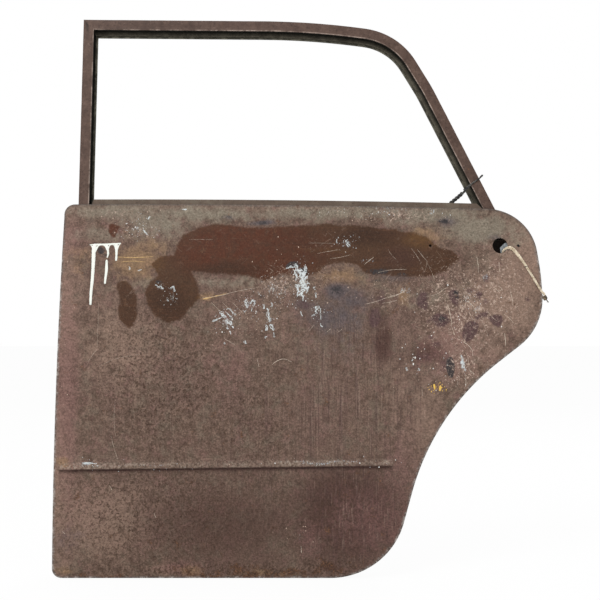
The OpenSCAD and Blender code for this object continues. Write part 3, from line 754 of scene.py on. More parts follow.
@dataclass(frozen=True)
class SkinPaint(Finish):
    """Brown paint of the outer skin under stains, dust, chalk, streaks and rust."""

    name: str = "outer_paint"

    def coat(self, s: Surface) -> None:
        """Lays the finish, which reads the marks that the skin keeps at its points.

        Args:
            s: The material in the making.
        """
        marks = {mark: socket for k in range(len(Mark) // 3)
                 for mark, socket in zip(list(Mark)[3 * k:3 * k + 3], s.read(f"marks_{k}"))}
        middle = s.noise(s.at, 15.0, 4.0, 0.6)
        fine = s.noise(s.at, 4.5, 3.0, 0.65)
        self.ground(s)
        for mark, tint, most, patchy in (
            (Mark.LIGHT, (0.234, 0.156, 0.118), 0.95, 1.1), (Mark.SHADE, (0.066, 0.034, 0.027), 0.9, 0.7),
            (Mark.PINK, (0.195, 0.102, 0.092), 0.6, 1.2), (Mark.DUST, (0.198, 0.168, 0.128), 0.92, 1.5),
            (Mark.OCHRE, (0.252, 0.157, 0.085), 0.66, 1.8), (Mark.BLUE, (0.086, 0.072, 0.077), 0.85, 1.1),
        ):
            share = s.span(s.plus(marks[mark], s.swing(middle, patchy)), 0.08, 0.92, (0.0, most))
            s.cover(share, tint, s.span(marks[mark], 0.0, 0.06))
        broken = s.swing(fine, 0.8)
        bruise = s.plus(marks[Mark.MAUVE], s.plus(s.times(broken, 0.5), s.swing(middle, 0.9)))
        bruise = s.times(s.span(bruise, 0.20, 0.78, (0.0, 0.9)), s.span(marks[Mark.MAUVE], 0.0, 0.1))
        s.cover(bruise, (0.078, 0.043, 0.044))
        self.speckles(s, marks)
        self.streaks(s, marks)
        level = s.plus(s.plus(marks[Mark.STAIN], s.swing(middle, 0.42)), s.swing(fine, 0.26))
        stain = s.span(level, 0.40, 0.62)
        s.cover(stain, self.wet(s, marks, middle), 0.95)
        s.cover(s.span(s.plus(marks[Mark.BLACK], broken), 0.35, 0.60, (0.0, 0.92)), (0.036, 0.032, 0.033))
        self.creases(s, middle, fine)
        rust = s.corrode(24.0, 0.2, 0.07, 0.85, s.times(marks[Mark.RUST], 0.20))
        dusting = s.noise(s.at, 3.6, 4.0, 0.8)
        grit = s.add("ShaderNodeMapRange", {0: dusting, 1: 0.30, 2: 0.70, 3: 0.48, 4: 1.52}, clamp=False).outputs[0]
        s.cover(s.span(stain, 0.0, 1.0, (1.0, 0.72)), s.mix(1.0, s.colour, grit, "MULTIPLY"))
        self.flecks(s, marks, s.less(1.0, s.times(bruise, 0.6)))
        shreds = s.noise(s.stretched(s.at, (1.0, 1.0, 0.6)), 3.4, 5.0, 0.85)
        scuff = s.span(s.plus(shreds, s.times(marks[Mark.SCUFF], 0.42)), 0.78, 0.90)
        s.cover(scuff, s.mix(s.span(middle, 0.40, 0.60), (0.56, 0.55, 0.50), (0.38, 0.43, 0.47)))
        height = s.plus(s.plus(s.grain(1.3), rust["Height"]), s.times(scuff, 0.5))
        s.finish(s.span(stain, 0.0, 1.0, (0.62, 0.42)), height, 0.22)

    @staticmethod
    def ground(s: Surface) -> None:
        """Starts the colour: mottled brown with broad, olive and pink clouds.

        Args:
            s: The material in the making.
        """
        s.colour = s.mottled(15.0, 2.8, (0.092, 0.058, 0.043), (0.176, 0.117, 0.089))
        s.cover(s.span(s.noise(s.at, 80.0, 5.0, 0.6), 0.42, 0.62, (0.0, 0.35)), (0.140, 0.082, 0.068))
        olive, pink = s.noise(s.moved(s.at, 0.31), 38.0, 5.0, 0.68), s.noise(s.moved(s.at, 0.77), 24.0, 5.0, 0.68)
        s.cover(s.span(olive, 0.48, 0.66, (0.0, 0.5)), (0.150, 0.119, 0.088))
        s.cover(s.span(pink, 0.52, 0.68, (0.0, 0.5)), (0.198, 0.112, 0.096))

    @staticmethod
    def speckles(s: Surface, marks: Marks) -> None:
        """Lays dark dots and worms over the colour.

        Args:
            s: The material in the making.
            marks: What the skin keeps at its points.
        """
        worms = s.use(s.effects.speckle, Size=5.2, Cover=0.60)[0]
        dots = s.use(s.effects.speckle, Size=6.6, Cover=0.48)[0]
        s.cover(s.larger(s.times(worms, 0.66), dots), (0.050, 0.029, 0.019),
                s.span(marks[Mark.SPECKLE], 0.0, 1.0, (0.16, 0.85)))

    @staticmethod
    def streaks(s: Surface, marks: Marks) -> None:
        """Lays dark and pale streaks that run down over the colour.

        Args:
            s: The material in the making.
            marks: What the skin keeps at its points.
        """
        runs = s.use(s.effects.streak, Width=4.2, Cover=0.56)[0]
        lines = s.use(s.effects.streak, Width=15.0, Cover=0.2)[0]
        s.cover(s.larger(s.times(runs, 0.68), s.times(lines, 0.8)), (0.070, 0.040, 0.037), marks[Mark.STREAK])
        paler = s.noise(s.stretched(s.at, (1.0, 1.0, 0.03)), 3.2, 2.0, 0.6)
        s.cover(s.span(paler, 0.56, 0.70), (0.27, 0.19, 0.15), s.times(marks[Mark.STREAK], 0.4))

    @staticmethod
    def wet(s: Surface, marks: Marks, middle: Socket) -> Socket:
        """Gives the colour of the wet stains.

        Args:
            s: The material in the making.
            marks: What the skin keeps at its points.
            middle: Noise of middling size.

        Returns:
            The colour, part of it the paint's own.
        """
        wet = s.mix(s.span(marks[Mark.RED], 0.2, 0.8), (0.063, 0.030, 0.015), (0.078, 0.020, 0.008))
        brushed = s.noise(s.stretched(s.at, (0.035, 1.0, 1.0)), 2.6, 3.0, 0.65)
        for value, low, high, most, tint in (
            (marks[Mark.MAUVE], 0.05, 0.6, 0.85, (0.060, 0.028, 0.021)),
            (marks[Mark.SHADE], 0.05, 0.7, 0.85, (0.040, 0.020, 0.011)),
            (marks[Mark.OCHRE], 0.10, 0.7, 0.75, (0.112, 0.056, 0.018)),
            (middle, 0.38, 0.70, 0.6, (0.046, 0.022, 0.012)),
            (brushed, 0.54, 0.74, 0.5, (0.112, 0.046, 0.022)),
        ):
            wet = s.mix(s.span(value, low, high, (0.0, most)), wet, tint)
        return s.mix(0.74, s.mix(1.0, s.colour, (0.40, 0.27, 0.19), "MULTIPLY"), wet)

    @staticmethod
    def creases(s: Surface, middle: Socket, fine: Socket) -> None:
        """Paints shade under the swage's ledge, lightens its ridge with worn chalk and a painted highlight, and greys
        the skin's rim.

        Args:
            s: The material in the making.
            middle: Noise of middling size.
            fine: Fine noise.
        """
        groove_shade, ridge, rim = s.read("creases")
        # worn chalk and a painted highlight on the swage's ridge, whose ramp faces up into the light
        ridge_chalk_and_highlight = s.times(s.span(fine, 0.40, 0.60, (0.0, 0.8)),
                         s.span(s.noise(s.moved(s.at, 0.13), 40.0, 4.0, 0.7), 0.40, 0.62, (0.3, 1.0)))
        s.cover(ridge, (0.31, 0.245, 0.195), ridge_chalk_and_highlight)
        # painted shade: the band under the swage's ledge is darkened as if in its shadow
        s.cover(groove_shade, (0.036, 0.017, 0.014), s.span(middle, 0.30, 0.60, (0.75, 1.0)))
        s.cover(rim, (0.088, 0.077, 0.070), s.span(fine, 0.36, 0.60, (0.45, 0.85)))
        knocks = s.span(s.noise(s.moved(s.at, 0.52), 9.0, 4.0, 0.75), 0.46, 0.60, (0.0, 0.9))
        below_belt = s.span(s.height(s.at), 0.27, 0.32, (1.0, 0.0))
        s.cover(rim, (0.40, 0.36, 0.33), s.times(knocks, below_belt))

    @staticmethod
    def flecks(s: Surface, marks: Marks, calm: Socket) -> None:
        """Lays hair scratches and worn flecks over the colour.

        Args:
            s: The material in the making.
            marks: What the skin keeps at its points.
            calm: Lower where fewer of them show.
        """
        hairs = None
        for angle, size in ((0.35, 3.6), (-0.5, 4.4), (1.25, 5.0), (0.05, 3.0), (0.8, 9.0), (-0.9, 12.0)):
            mask = s.use(s.effects.hairs, Angle=angle, Size=size, Cover=0.42)[0]
            hairs = mask if hairs is None else s.larger(hairs, mask)
        s.cover(s.times(hairs, s.span(marks[Mark.FLECK], 0.0, 0.9, (0.10, 0.7))), (0.38, 0.28, 0.22), calm)
        crumbs = s.noise(s.at, 5.0, 5.0, 0.78)
        worn = s.span(s.plus(crumbs, s.times(marks[Mark.FLECK], 0.185)), 0.70, 0.78)
        s.cover(worn, (0.44, 0.33, 0.265), calm)


@dataclass(frozen=True)
class OldRubber(Finish):
    """Perished felt-faced rubber of the glass runs."""

    name: str = "old_rubber"

    def coat(self, s: Surface) -> None:
        """Lays the finish, near-black as painted shade where the run lies under the frame's face, and browner where its
        leg that faces the cabin shows beyond the face.

        Args:
            s: The material in the making.
        """
        # near-black base: black rubber darkened further as painted shade of the recess under the face
        s.colour = s.mottled(8.0, 3.0, (0.004, 0.004, 0.003), (0.012, 0.012, 0.009))
        s.cover(s.read("frame_marks_and_light")[0], s.mottled(14.0, 2.6, (0.050, 0.044, 0.033), (0.105, 0.093, 0.070)))
        s.finish(0.85, s.grain(0.9), 0.3, 0.7)


@dataclass(frozen=True)
class Fibre(Finish):
    """Straw twine: strands with fine fibres, darker where it is dirty."""

    clean: Colour = (0.86, 0.76, 0.60)
    dirty: Colour = (0.46, 0.36, 0.24)
    dirt: float = 0.36

    def coat(self, s: Surface) -> None:
        """Lays the finish.

        Args:
            s: The material in the making.
        """
        s.colour = s.mix(s.span(s.noise(s.at, 9.0, 4.0, 0.7), self.dirt, self.dirt + 0.25), self.dirty, self.clean)
        threads = s.noise(s.stretched(s.at, (1.0, 0.4, 0.4)), 0.5, 2.0)
        s.cover(s.span(threads, 0.35, 0.65, (0.0, 0.3)), tuple(0.6 * c for c in self.clean))
        s.finish(0.9, threads, 0.25, 0.6)


@dataclass(frozen=True)
class Tarnish(Finish):
    """Dark annealed wire with a dull shine."""

    name: str = "dark_wire"
    metal: float = 0.55

    def coat(self, s: Surface) -> None:
        """Lays the finish.

        Args:
            s: The material in the making.
        """
        s.colour = s.mottled(5.0, 3.2, (0.022, 0.022, 0.024), (0.13, 0.125, 0.115))
        s.shader.inputs["Metallic"].default_value = self.metal
        s.finish(s.span(s.noise(s.at, 4.0), 0.35, 0.65, (0.35, 0.6)), s.grain(0.7), 0.1)


@dataclass(frozen=True)
class Spill(Finish):
    """Thick paint that was spilt, brushed or scraped on, of one tint."""

    tint: Colour
    thin: Colour
    rough: float = 0.35

    def coat(self, s: Surface) -> None:
        """Lays the finish, which is thinner in places.

        Args:
            s: The material in the making.
        """
        s.colour = s.mix(s.span(s.noise(s.at, 5.0, 4.0, 0.7), 0.52, 0.74, (0.0, 0.75)), self.tint, self.thin)
        s.finish(self.rough, s.grain(1.0), 0.1)


class Mark(Enum):
    """What lies on the skin, each kept as a value from 0 to 1 at its points."""

    STAIN = 0
    RED = 1
    DUST = 2
    OCHRE = 3
    MAUVE = 4
    BLUE = 5
    LIGHT = 6
    SHADE = 7
    PINK = 8
    RUST = 9
    SPECKLE = 10
    STREAK = 11
    SCUFF = 12
    FLECK = 13
    BLACK = 14


@dataclass(frozen=True)
class Blot:
    """A round mark: its middle and half sizes in pixels, its strength and its turn in degrees."""

    x: float
    y: float
    wide: float
    tall: float
    strength: float = 1.0
    turn: float = 0.0

    def amount(self, x: Array, z: Array, depth: Depth, steep: float, power: float) -> Array:
        """Gives how strong the mark is at each point.

        Args:
            x: Where, along the door.
            z: Where, up it.
            depth: Depth of the surface that the mark lies on.
            steep: How fast it fades away from its middle.
            power: How sudden its edge is.

        Returns:
            The strength at each point.
        """
        cx, cz = SIGHT.on_surface((self.x, self.y), depth)
        a = math.radians(self.turn)
        along = (x - cx) * math.cos(a) + (z - cz) * math.sin(a)
        across = (z - cz) * math.cos(a) - (x - cx) * math.sin(a)
        far = np.hypot(along / (self.wide * SIGHT.pixel), across / (self.tall * SIGHT.pixel))
        return self.strength * np.exp(-steep * far**power)


def blots(*rows: Sequence[float]) -> tuple[Blot, ...]:
    """Makes a round mark of each row of numbers."""
    return tuple(Blot(*row) for row in rows)


SOFT_MARKS: dict[Mark, tuple[Blot, ...]] = {
    Mark.RED: blots((250, 250, 90, 34), (384, 345, 14, 26), (113, 231, 12, 12)),
    Mark.DUST: blots(
        (120, 211, 56, 10, 0.7), (200, 214, 75, 10, 0.8), (160, 224, 34, 18, 0.75), (150, 283, 26, 6, 0.5),
        (330, 213, 95, 9, 0.75), (440, 216, 60, 12, 0.8), (478, 229, 36, 15), (515, 236, 18, 18, 0.5),
        (100, 236, 34, 9, 0.45), (228, 283, 46, 7, 0.45), (425, 300, 26, 16, 0.35),
    ),
    Mark.OCHRE: blots(
        (136, 262, 28, 19, 0.95), (134, 270, 14, 9, 0.7), (189, 570, 15, 6, 0.75), (62, 571, 16, 4, 0.6),
        (262, 573, 26, 4, 0.7), (150, 248, 24, 10, 0.55), (80, 258, 16, 16, 0.5), (206, 297, 10, 4, 0.9),
        (422, 239, 20, 11, 0.75), (338, 277, 24, 10, 0.75), (403, 297, 6, 11, 0.7), (330, 250, 40, 4, 0.35),
        (62, 463, 7, 6),
    ),
    Mark.MAUVE: blots(
        (375, 317, 7, 13, 0.9), (383, 334, 10, 18, 0.25), (381, 298, 9, 12, 0.6), (425, 357, 20, 8, 0.4),
        (445, 362, 8, 12, 0.6), (408, 352, 10, 8, 0.3), (485, 278, 5, 6, 0.6), (470, 290, 6, 4, 0.55),
        (436, 345, 6, 5, 0.55), (431, 338, 4, 3, 0.5), (529, 299, 4, 4, 0.55), (487, 303, 5, 5, 0.55),
        (428, 322, 5, 3, 0.5), (305, 305, 10, 8, 0.55), (92, 222, 14, 6, 0.35), (100, 299, 14, 18, 0.2),
        (402, 258, 30, 14, 0.45),
    ),
    Mark.BLUE: blots(
        (334, 318, 36, 22, 0.75), (338, 292, 16, 11), (354, 300, 20, 14, 0.8), (305, 305, 14, 10, 0.6),
        (392, 276, 22, 7, 0.6), (293, 262, 7, 4), (446, 222, 11, 6, 0.75), (496, 238, 9, 5, 0.6),
        (388, 271, 20, 6, 0.8), (262, 222, 18, 3, 0.9), (228, 219, 10, 3, 0.6), (66, 540, 24, 16, 0.35),
        (345, 340, 30, 30, 0.3),
    ),
    Mark.LIGHT: blots(
        (62, 300, 18, 110, 0.7), (56, 480, 22, 110, 0.8), (528, 260, 34, 46, 0.9), (505, 300, 44, 40, 0.95),
        (465, 350, 52, 36, 0.6), (424, 420, 20, 44, 0.6), (120, 345, 46, 52, 0.6), (96, 520, 64, 50, 0.75),
        (270, 207, 260, 6, 0.5), (163, 569, 16, 8, 0.8), (56, 567, 30, 8, 0.6), (320, 566, 12, 6, 0.5),
        (330, 545, 10, 20, 0.35), (402, 400, 18, 60, 0.4), (340, 455, 70, 8, 0.3),
    ),
    Mark.SHADE: blots(
        (225, 525, 110, 50, 0.6), (350, 515, 66, 60), (366, 236, 32, 11, 0.8), (374, 209, 34, 5, 0.45),
        (383, 342, 11, 22), (428, 353, 20, 13, 0.85), (380, 322, 13, 18, 0.6), (338, 545, 28, 16, 0.7),
        (330, 567, 20, 6, 0.8), (226, 270, 44, 9, 0.6), (168, 303, 24, 20, 0.6), (128, 305, 12, 26, 0.35),
        (230, 480, 190, 16, 0.35), (298, 246, 46, 22, 0.3), (392, 556, 30, 26, 0.3), (302, 440, 16, 130, 0.2),
    ),
    Mark.PINK: blots(
        (232, 365, 28, 42, 0.5), (180, 568, 28, 8, 0.9), (310, 540, 16, 24, 0.6), (66, 400, 14, 150, 0.8),
        (372, 520, 60, 40, 0.6), (452, 352, 40, 34, 0.6), (400, 470, 24, 60, 0.5), (72, 240, 20, 24, 0.7),
        (80, 500, 40, 40, 0.4),
    ),
    Mark.RUST: blots(
        (270, 573, 95, 8), (110, 576, 70, 4, 0.7), (325, 567, 30, 12, 0.9), (372, 566, 30, 6, 0.6),
        (190, 571, 22, 7, 0.9),
    ),
    Mark.SPECKLE: blots(
        (160, 375, 80, 90), (150, 510, 110, 66), (250, 430, 60, 90, 0.7), (110, 290, 50, 60, 0.3),
        (330, 510, 70, 50, 0.6), (230, 571, 190, 9), (330, 566, 40, 10),
    ),
    Mark.STREAK: blots(
        (345, 400, 62, 110), (350, 520, 64, 60, 0.8), (265, 440, 50, 100, 0.6), (405, 400, 24, 70, 0.7),
        (384, 340, 20, 30, 0.6), (150, 420, 90, 160, 0.25),
    ),
    Mark.SCUFF: blots(
        (298, 270, 9, 7, 0.74), (302, 283, 7, 16, 0.8, 12), (250, 306, 8, 7, 0.7), (227, 320, 9, 9, 0.7, -40),
        (268, 318, 4, 14, 0.7, 12), (172, 297, 8, 9, 0.6), (160, 287, 6, 3, 0.75, 30), (385, 205, 46, 5, 0.62),
        (255, 204, 60, 3, 0.45), (137, 228, 9, 7, 0.70), (346, 242, 8, 5, 0.68), (88, 463.6, 11, 2.8, 0.95),
        (325, 462.4, 76, 2.4, 0.74), (150, 465.4, 60, 2.2, 0.62), (475, 318, 24, 40, 0.42),
        (463, 363, 3, 10, 0.95, 14), (368, 261, 12, 6, 0.6), (318, 309, 4, 7, 0.7), (277, 290, 22, 14, 0.62),
        (405, 290, 12, 8, 0.66), (390, 212, 40, 9, 0.58), (432, 212, 8, 6, 0.7), (438, 376, 30, 20, 0.42),
        (485, 277, 6, 7, 0.7), (467, 297, 7, 5, 0.75, -35), (477, 308, 7, 8, 0.66), (300, 534, 18, 10, 0.46),
        (146, 345, 80, 50, 0.3), (115, 512, 60, 50, 0.34),
    ),
    Mark.FLECK: blots(
        (465, 310, 70, 64), (500, 290, 40, 60, 0.9), (282, 285, 34, 24, 0.9), (395, 295, 34, 20, 0.8),
        (440, 260, 26, 14, 0.6), (250, 320, 50, 34, 0.6), (460, 365, 36, 34, 0.9), (140, 232, 30, 12, 0.8),
        (400, 216, 60, 12, 0.9), (120, 320, 60, 60, 0.35), (335, 245, 40, 18, 0.4), (110, 215, 40, 8, 0.7),
        (340, 212, 50, 9, 0.7), (330, 275, 30, 12, 0.7), (100, 500, 60, 70, 0.3),
    ),
    Mark.BLACK: blots(
        (293, 264, 8, 4, 0.9), (304, 271, 6, 6, 0.7), (338, 291, 12, 8, 0.55), (380, 272, 18, 5, 0.62),
        (400, 275, 10, 4, 0.5), (375, 281, 12, 3, 0.5), (444, 222, 6, 3, 0.8), (262, 222, 12, 3, 0.6),
        (229, 218, 9, 2.5, 0.5), (452, 301, 3, 8, 0.4, -25), (95, 262, 2, 18, 0.3), (101, 250, 5, 5, 0.66),
        (105, 254, 3, 4, 0.55), (365, 231, 18, 4, 0.35), (158, 283, 6, 3, 0.6), (261, 297, 6, 8, 0.45),
    ),
}

WET_BAND: tuple[Spot, ...] = (
    (176, 246), (183, 235), (200, 227), (214, 224), (240, 226), (262, 227), (286, 226), (312, 225), (332, 224),
    (362, 226), (392, 229), (411, 232), (427, 237), (438, 247), (452, 251), (461, 258), (453, 265), (443, 272),
    (434, 276), (412, 276), (395, 277), (366, 274), (358, 265), (345, 262), (328, 265), (318, 273), (300, 277),
    (284, 273), (266, 281), (250, 276), (226, 275), (203, 272), (192, 271), (198, 283), (200, 298), (190, 308),
    (181, 319), (168, 323), (155, 317), (147, 305), (144, 292), (150, 282), (158, 276), (152, 264), (160, 256),
    (174, 256),
)
WET_OVAL: tuple[Spot, ...] = (
    (117, 284), (121, 281), (127, 281), (131, 285), (134, 289), (136, 296), (137, 305), (137.5, 314), (135, 321),
    (133, 327), (128, 328.5), (123, 325), (119, 319), (118, 310), (120, 302), (119, 295), (117, 290),
)


@dataclass(frozen=True)
class Patch:
    """A mark with an outline in pixels, how far its edge spreads in millimetres, and its strength."""

    mark: Mark
    outline: tuple[Spot, ...]
    spread: float = 26.0
    strength: float = 1.0


PATCHES: tuple[Patch, ...] = (
    Patch(Mark.STAIN, WET_BAND),
    Patch(Mark.STAIN, WET_OVAL),
    Patch(Mark.STAIN, ((109, 225), (113, 223.4), (117, 225), (121.5, 226), (118.6, 229), (117, 233), (115, 237),
                       (111.5, 237.6), (108.6, 232)), 12, 0.95),
    Patch(Mark.MAUVE, ((449, 291), (455, 289), (460, 293), (460, 300), (457, 307), (452, 303), (449, 297)), 9),
    Patch(Mark.MAUVE, ((430, 318), (437, 313), (447, 315), (450, 321), (445, 327), (438, 328), (433, 323)), 9),
    Patch(Mark.MAUVE, ((464, 328), (467, 323), (474, 321), (478, 325), (476, 333), (472, 339), (467, 342), (463, 337)),
          8, 1.2),
    Patch(Mark.MAUVE, ((488, 317), (494, 314), (501, 314), (503, 320), (500, 327), (494, 325)), 9),
    Patch(Mark.MAUVE, ((417, 301), (421, 291), (427, 292), (428, 303), (428, 311), (422, 310), (417, 306)), 12, 0.9),
    Patch(Mark.MAUVE, ((475, 293), (480, 290), (484, 294), (481, 299), (476, 298)), 9, 0.9),
    Patch(Mark.MAUVE, ((481, 312), (487, 309), (490, 314), (484, 318), (477, 320), (474, 316)), 10, 0.8),
    Patch(Mark.BLACK, ((447, 359), (451, 356.5), (454, 361), (454.5, 369), (453, 376), (450, 377), (447.5, 371),
                       (446, 365)), 6, 1.3),
    Patch(Mark.BLACK, ((453, 291), (457, 289), (460, 294), (459, 300), (455, 300)), 12, 0.8),
    Patch(Mark.BLACK, ((434, 316), (441, 314), (448, 318), (445, 324), (438, 325)), 14, 0.6),
)


def inside(x: Array, z: Array, outline: Array) -> Array:
    """Tells which points lie inside a closed outline.

    Args:
        x: Where, along the door.
        z: Where, up it.
        outline: The outline's points, one row each.

    Returns:
        True for each point inside.
    """
    found = np.zeros(len(x), bool)
    for (ax, az), (bx, bz) in zip(outline, np.roll(outline, -1, axis=0)):
        if az == bz:
            continue
        crosses = ((az > z) != (bz > z)) & (x < ax + (z - az) * (bx - ax) / (bz - az))
        found ^= crosses
    return found


def gap_to(x: Array, z: Array, outline: Array) -> Array:
    """Measures how far points are from a closed outline.

    Args:
        x: Where, along the door.
        z: Where, up it.
        outline: The outline's points, one row each.

    Returns:
        Each point's distance, negative outside.
    """
    least = np.full(len(x), np.inf)
    for a, b in zip(outline, np.roll(outline, -1, axis=0)):
        side = b - a
        t = np.clip(((x - a[0]) * side[0] + (z - a[1]) * side[1]) / (side @ side), 0, 1)
        least = np.minimum(least, np.hypot(x - a[0] - t * side[0], z - a[1] - t * side[1]))
    return np.where(inside(x, z, outline), least, -least)


FRONT_LEAN = math.radians(1.8)
OVERHANG = 14.0
BELT_FRONT = 373.0
SILL = -370.0
SILL_SHIFT = 0.32
SWAGE_FRONT = -152.0


def front_edge(z: float) -> float:
    """Gives the x of the skin's front edge at a height."""
    return z * math.tan(FRONT_LEAN) - OVERHANG / math.cos(FRONT_LEAN)


PANEL = (
    Corner(front_edge(BELT_FRONT), BELT_FRONT, 20), Corner(463, 374, 26384), Corner(926, 362, 100),
    Corner(945, 234, 500), Corner(950, 130, 120), Corner(730, -40, 480), Corner(643, SILL, 150),
    Corner(front_edge(SILL) + SILL_SHIFT, SILL, 18),
)


@dataclass(frozen=True)
class Swage:
    """The pressed step along the lower door: a ramp that rises outwards and ends in a ledge."""

    start: Spot = (front_edge(SWAGE_FRONT) + 9, SWAGE_FRONT)
    end: Spot = (652.0, -144.0)
    width: Spot = (26.0, 11.0)
    height: Spot = (3.55, 2.3)
    ledge: float = 2.4
    over: float = 4.0
    fade: float = 5.0

    def line(self, x: Array) -> Array:
        """Gives the height of the ledge at each x."""
        return self.start[1] + (self.end[1] - self.start[1]) * self.share(x)

    def share(self, x: Array) -> Array:
        """Gives how far along the swage each x is."""
        return np.clip((x - self.start[0]) / (self.end[0] - self.start[0]), 0, 1)

    def out(self, x: Array, z: Array) -> Array:
        """Measures how far the swage stands out.

        Args:
            x: Where, along the door.
            z: Where, up it.

        Returns:
            The distance at each point.
        """
        t = self.share(x)
        w = self.width[0] + (self.width[1] - self.width[0]) * t
        h = self.height[0] + (self.height[1] - self.height[0]) * t
        up = z - self.line(x)
        r = (w**2 + h**2) / (2 * h)
        ramp = np.sqrt(r**2 - np.clip(up, 0, w) ** 2) - (r - h)
        out = np.where(up >= 0, ramp, h * smooth_step(1 + up / self.ledge))
        begins = smooth_step((x - self.start[0] + self.over) / (2 * self.over))
        return out * begins * smooth_step((self.end[0] - x) / self.fade)


@dataclass(frozen=True)
class Hole:
    """A round hole in the skin."""

    x: float
    z: float
    r: float
    sides: int

    def rim(self, grow: float) -> Array:
        """Gives points round the hole, at a distance outside its edge."""
        return np.array(arc((self.x, self.z), self.r + grow, 0, 360, self.sides)[:-1])

    def misses(self, spots: Array) -> Array:
        """Tells which spots lie outside the hole."""
        return np.hypot(spots[:, 0] - self.x, spots[:, 1] - self.z) > self.r


@dataclass
class OuterSkin:
    """The crowned outer skin with its folded hem, swage, holes and dents.

    The slack is a depth, a size and a seed for each of its two swells. The creases are the heights of the
    rows of points along the swage.
    """

    paint: Material
    crown_radius: float = 2200.0
    crown_out: float = 45.0
    crown_z: float = -56.0
    thick: float = 1.0
    hem: float = 3.8
    hem_width: float = 9.0
    raw_edge: float = 1.15
    raw_from: float = 347.0
    raw_to: float = 866.0
    pitch: float = 4.0
    back_pitch: float = 20.0
    row_share: float = 0.866
    clear_share: float = 0.6
    clear_most: float = 4.4
    taut: float = 26.0
    taut_fade: float = 50.0
    slack: tuple[tuple[float, float, float], ...] = ((0.55, 160.0, 3.0), (0.25, 55.0, 8.0))
    dent: Spot = (902.0, 283.0)
    dent_deep: float = 0.9
    dent_area: float = 20.0
    creases: tuple[float, ...] = (-3.2, -2.2, -1.1, 0, 1.4, 3.4)
    round_off: float = 0.7
    sway: float = 6.0
    sway_size: float = 38.0
    patch_sway: float = 0.4
    sharp: float = 50.0
    swage: Swage = field(default_factory=Swage)
    holes: tuple[Hole, ...] = (Hole(865, 290, 15, 56), Hole(901, 290, 2.6, 16), Hole(726, 290, 2.6, 16))

    def crown(self, z: Array) -> Array:
        """Gives the depth of the plain crown at each height."""
        r = self.crown_radius
        return r - self.crown_out - np.sqrt(r**2 - (z - self.crown_z) ** 2)

    def depth(self, x: Array, z: Array) -> Array:
        """Gives the depth of the skin's outside, without its dents."""
        return self.crown(z) - self.swage.out(np.asarray(x, float), np.asarray(z, float))

    def dented(self, x: Array, z: Array) -> Array:
        """Measures the skin's outside with its slack and its dent by the handle hole.

        Args:
            x: Where, along the door.
            z: Where, up it.

        Returns:
            The depth at each point.
        """
        margin = smooth_step((gap_to(x, z, Path(PANEL, 12.0).points) - self.taut) / self.taut_fade)
        flat = np.column_stack([x, z, np.zeros(len(x))])
        slack = sum(deep * (1 + wobble(flat, size, seed)) for deep, size, seed in self.slack)
        by_hole = self.dent_deep * np.exp(-((x - self.dent[0]) ** 2 + (z - self.dent[1]) ** 2) / self.dent_area)
        return self.depth(x, z) + slack * margin + by_hole

    def grid(self, loop: Array, fixed: Array, pitch: float) -> Array:
        """Spreads points over an outline, clear of its holes and of the points that are given.

        Args:
            loop: Points of the outer edge.
            fixed: Points that are given.
            pitch: Distance from point to point.

        Returns:
            The points, one row each.
        """
        x = np.arange(loop[:, 0].min(), loop[:, 0].max(), pitch)
        z = np.arange(loop[:, 1].min(), loop[:, 1].max(), pitch * self.row_share)
        gx, gz = np.meshgrid(x, z)
        gx = gx + pitch / 2 * (np.arange(len(z)) % 2)[:, None]
        spots = np.column_stack([gx.ravel(), gz.ravel()])
        spots = spots[inside(spots[:, 0], spots[:, 1], loop)]
        tree = KDTree(len(fixed))
        for k, p in enumerate(fixed):
            tree.insert((p[0], p[1], 0), k)
        tree.balance()
        apart = np.array([tree.find((p[0], p[1], 0))[2] for p in spots.tolist()])
        spots = spots[apart > self.clear_share * min(pitch, self.clear_most)]
        for hole in self.holes:
            spots = spots[hole.misses(spots)]
        return spots

    def sheet(self, loop: Array, rims: list[Array], pitch: float, lines: list[Array]
              ) -> tuple[Array, list[tuple[int, ...]], list[list[int]]]:
        """Fills an outline with triangles.

        Args:
            loop: Points of the outer edge.
            rims: Points of the edge of each hole.
            pitch: Distance between the points inside.
            lines: Rows of points that have to be edges.

        Returns:
            The points, the triangles, and the numbers of the points of each given edge.
        """
        edges = [loop, *rims]
        fixed = np.vstack(edges + lines)
        spots = self.grid(loop, fixed, pitch)
        links, first = [], 0
        for row in edges:
            links += [(first + k, first + (k + 1) % len(row)) for k in range(len(row))]
            first += len(row)
        for row in lines:
            links += [(first + k, first + k + 1) for k in range(len(row) - 1)]
            first += len(row)
        given = [Vector(p) for p in np.vstack([fixed, spots]).tolist()]
        points, _, faces, origins, _, _ = delaunay_2d_cdt(given, links, [], 1, 1e-5)
        points = np.array([tuple(p) for p in points])
        number = {origin: k for k, sources in enumerate(origins) for origin in sources}
        middles = np.array([points[list(f)].mean(axis=0) for f in faces])
        solid = inside(middles[:, 0], middles[:, 1], loop)
        for hole in self.holes:
            solid &= hole.misses(middles)
        kept = [tuple(f) for f, keep in zip(faces, solid) if keep]
        rows, first = [], 0
        for row in edges:
            rows.append([number[first + k] for k in range(len(row))])
            first += len(row)
        return points, kept, rows

    def build(self) -> None:
        """Makes the skin as one closed piece and stores its marks."""
        maker = MeshMaker()
        path = Path(PANEL, self.pitch)
        x, z = path.points.T
        raw = smooth_step((z - self.raw_from) / 6) * smooth_step((self.raw_to - x) / 12)
        half = (self.hem + (self.raw_edge - self.hem) * raw) / 2

        def row(inset: Array, depth: Array) -> list[int]:
            """Adds a row of points round the edge, at an inset and a depth behind the skin."""
            p = path.inset(inset)
            return maker.add(upright(p, self.depth(p[:, 0], p[:, 1]) + depth))

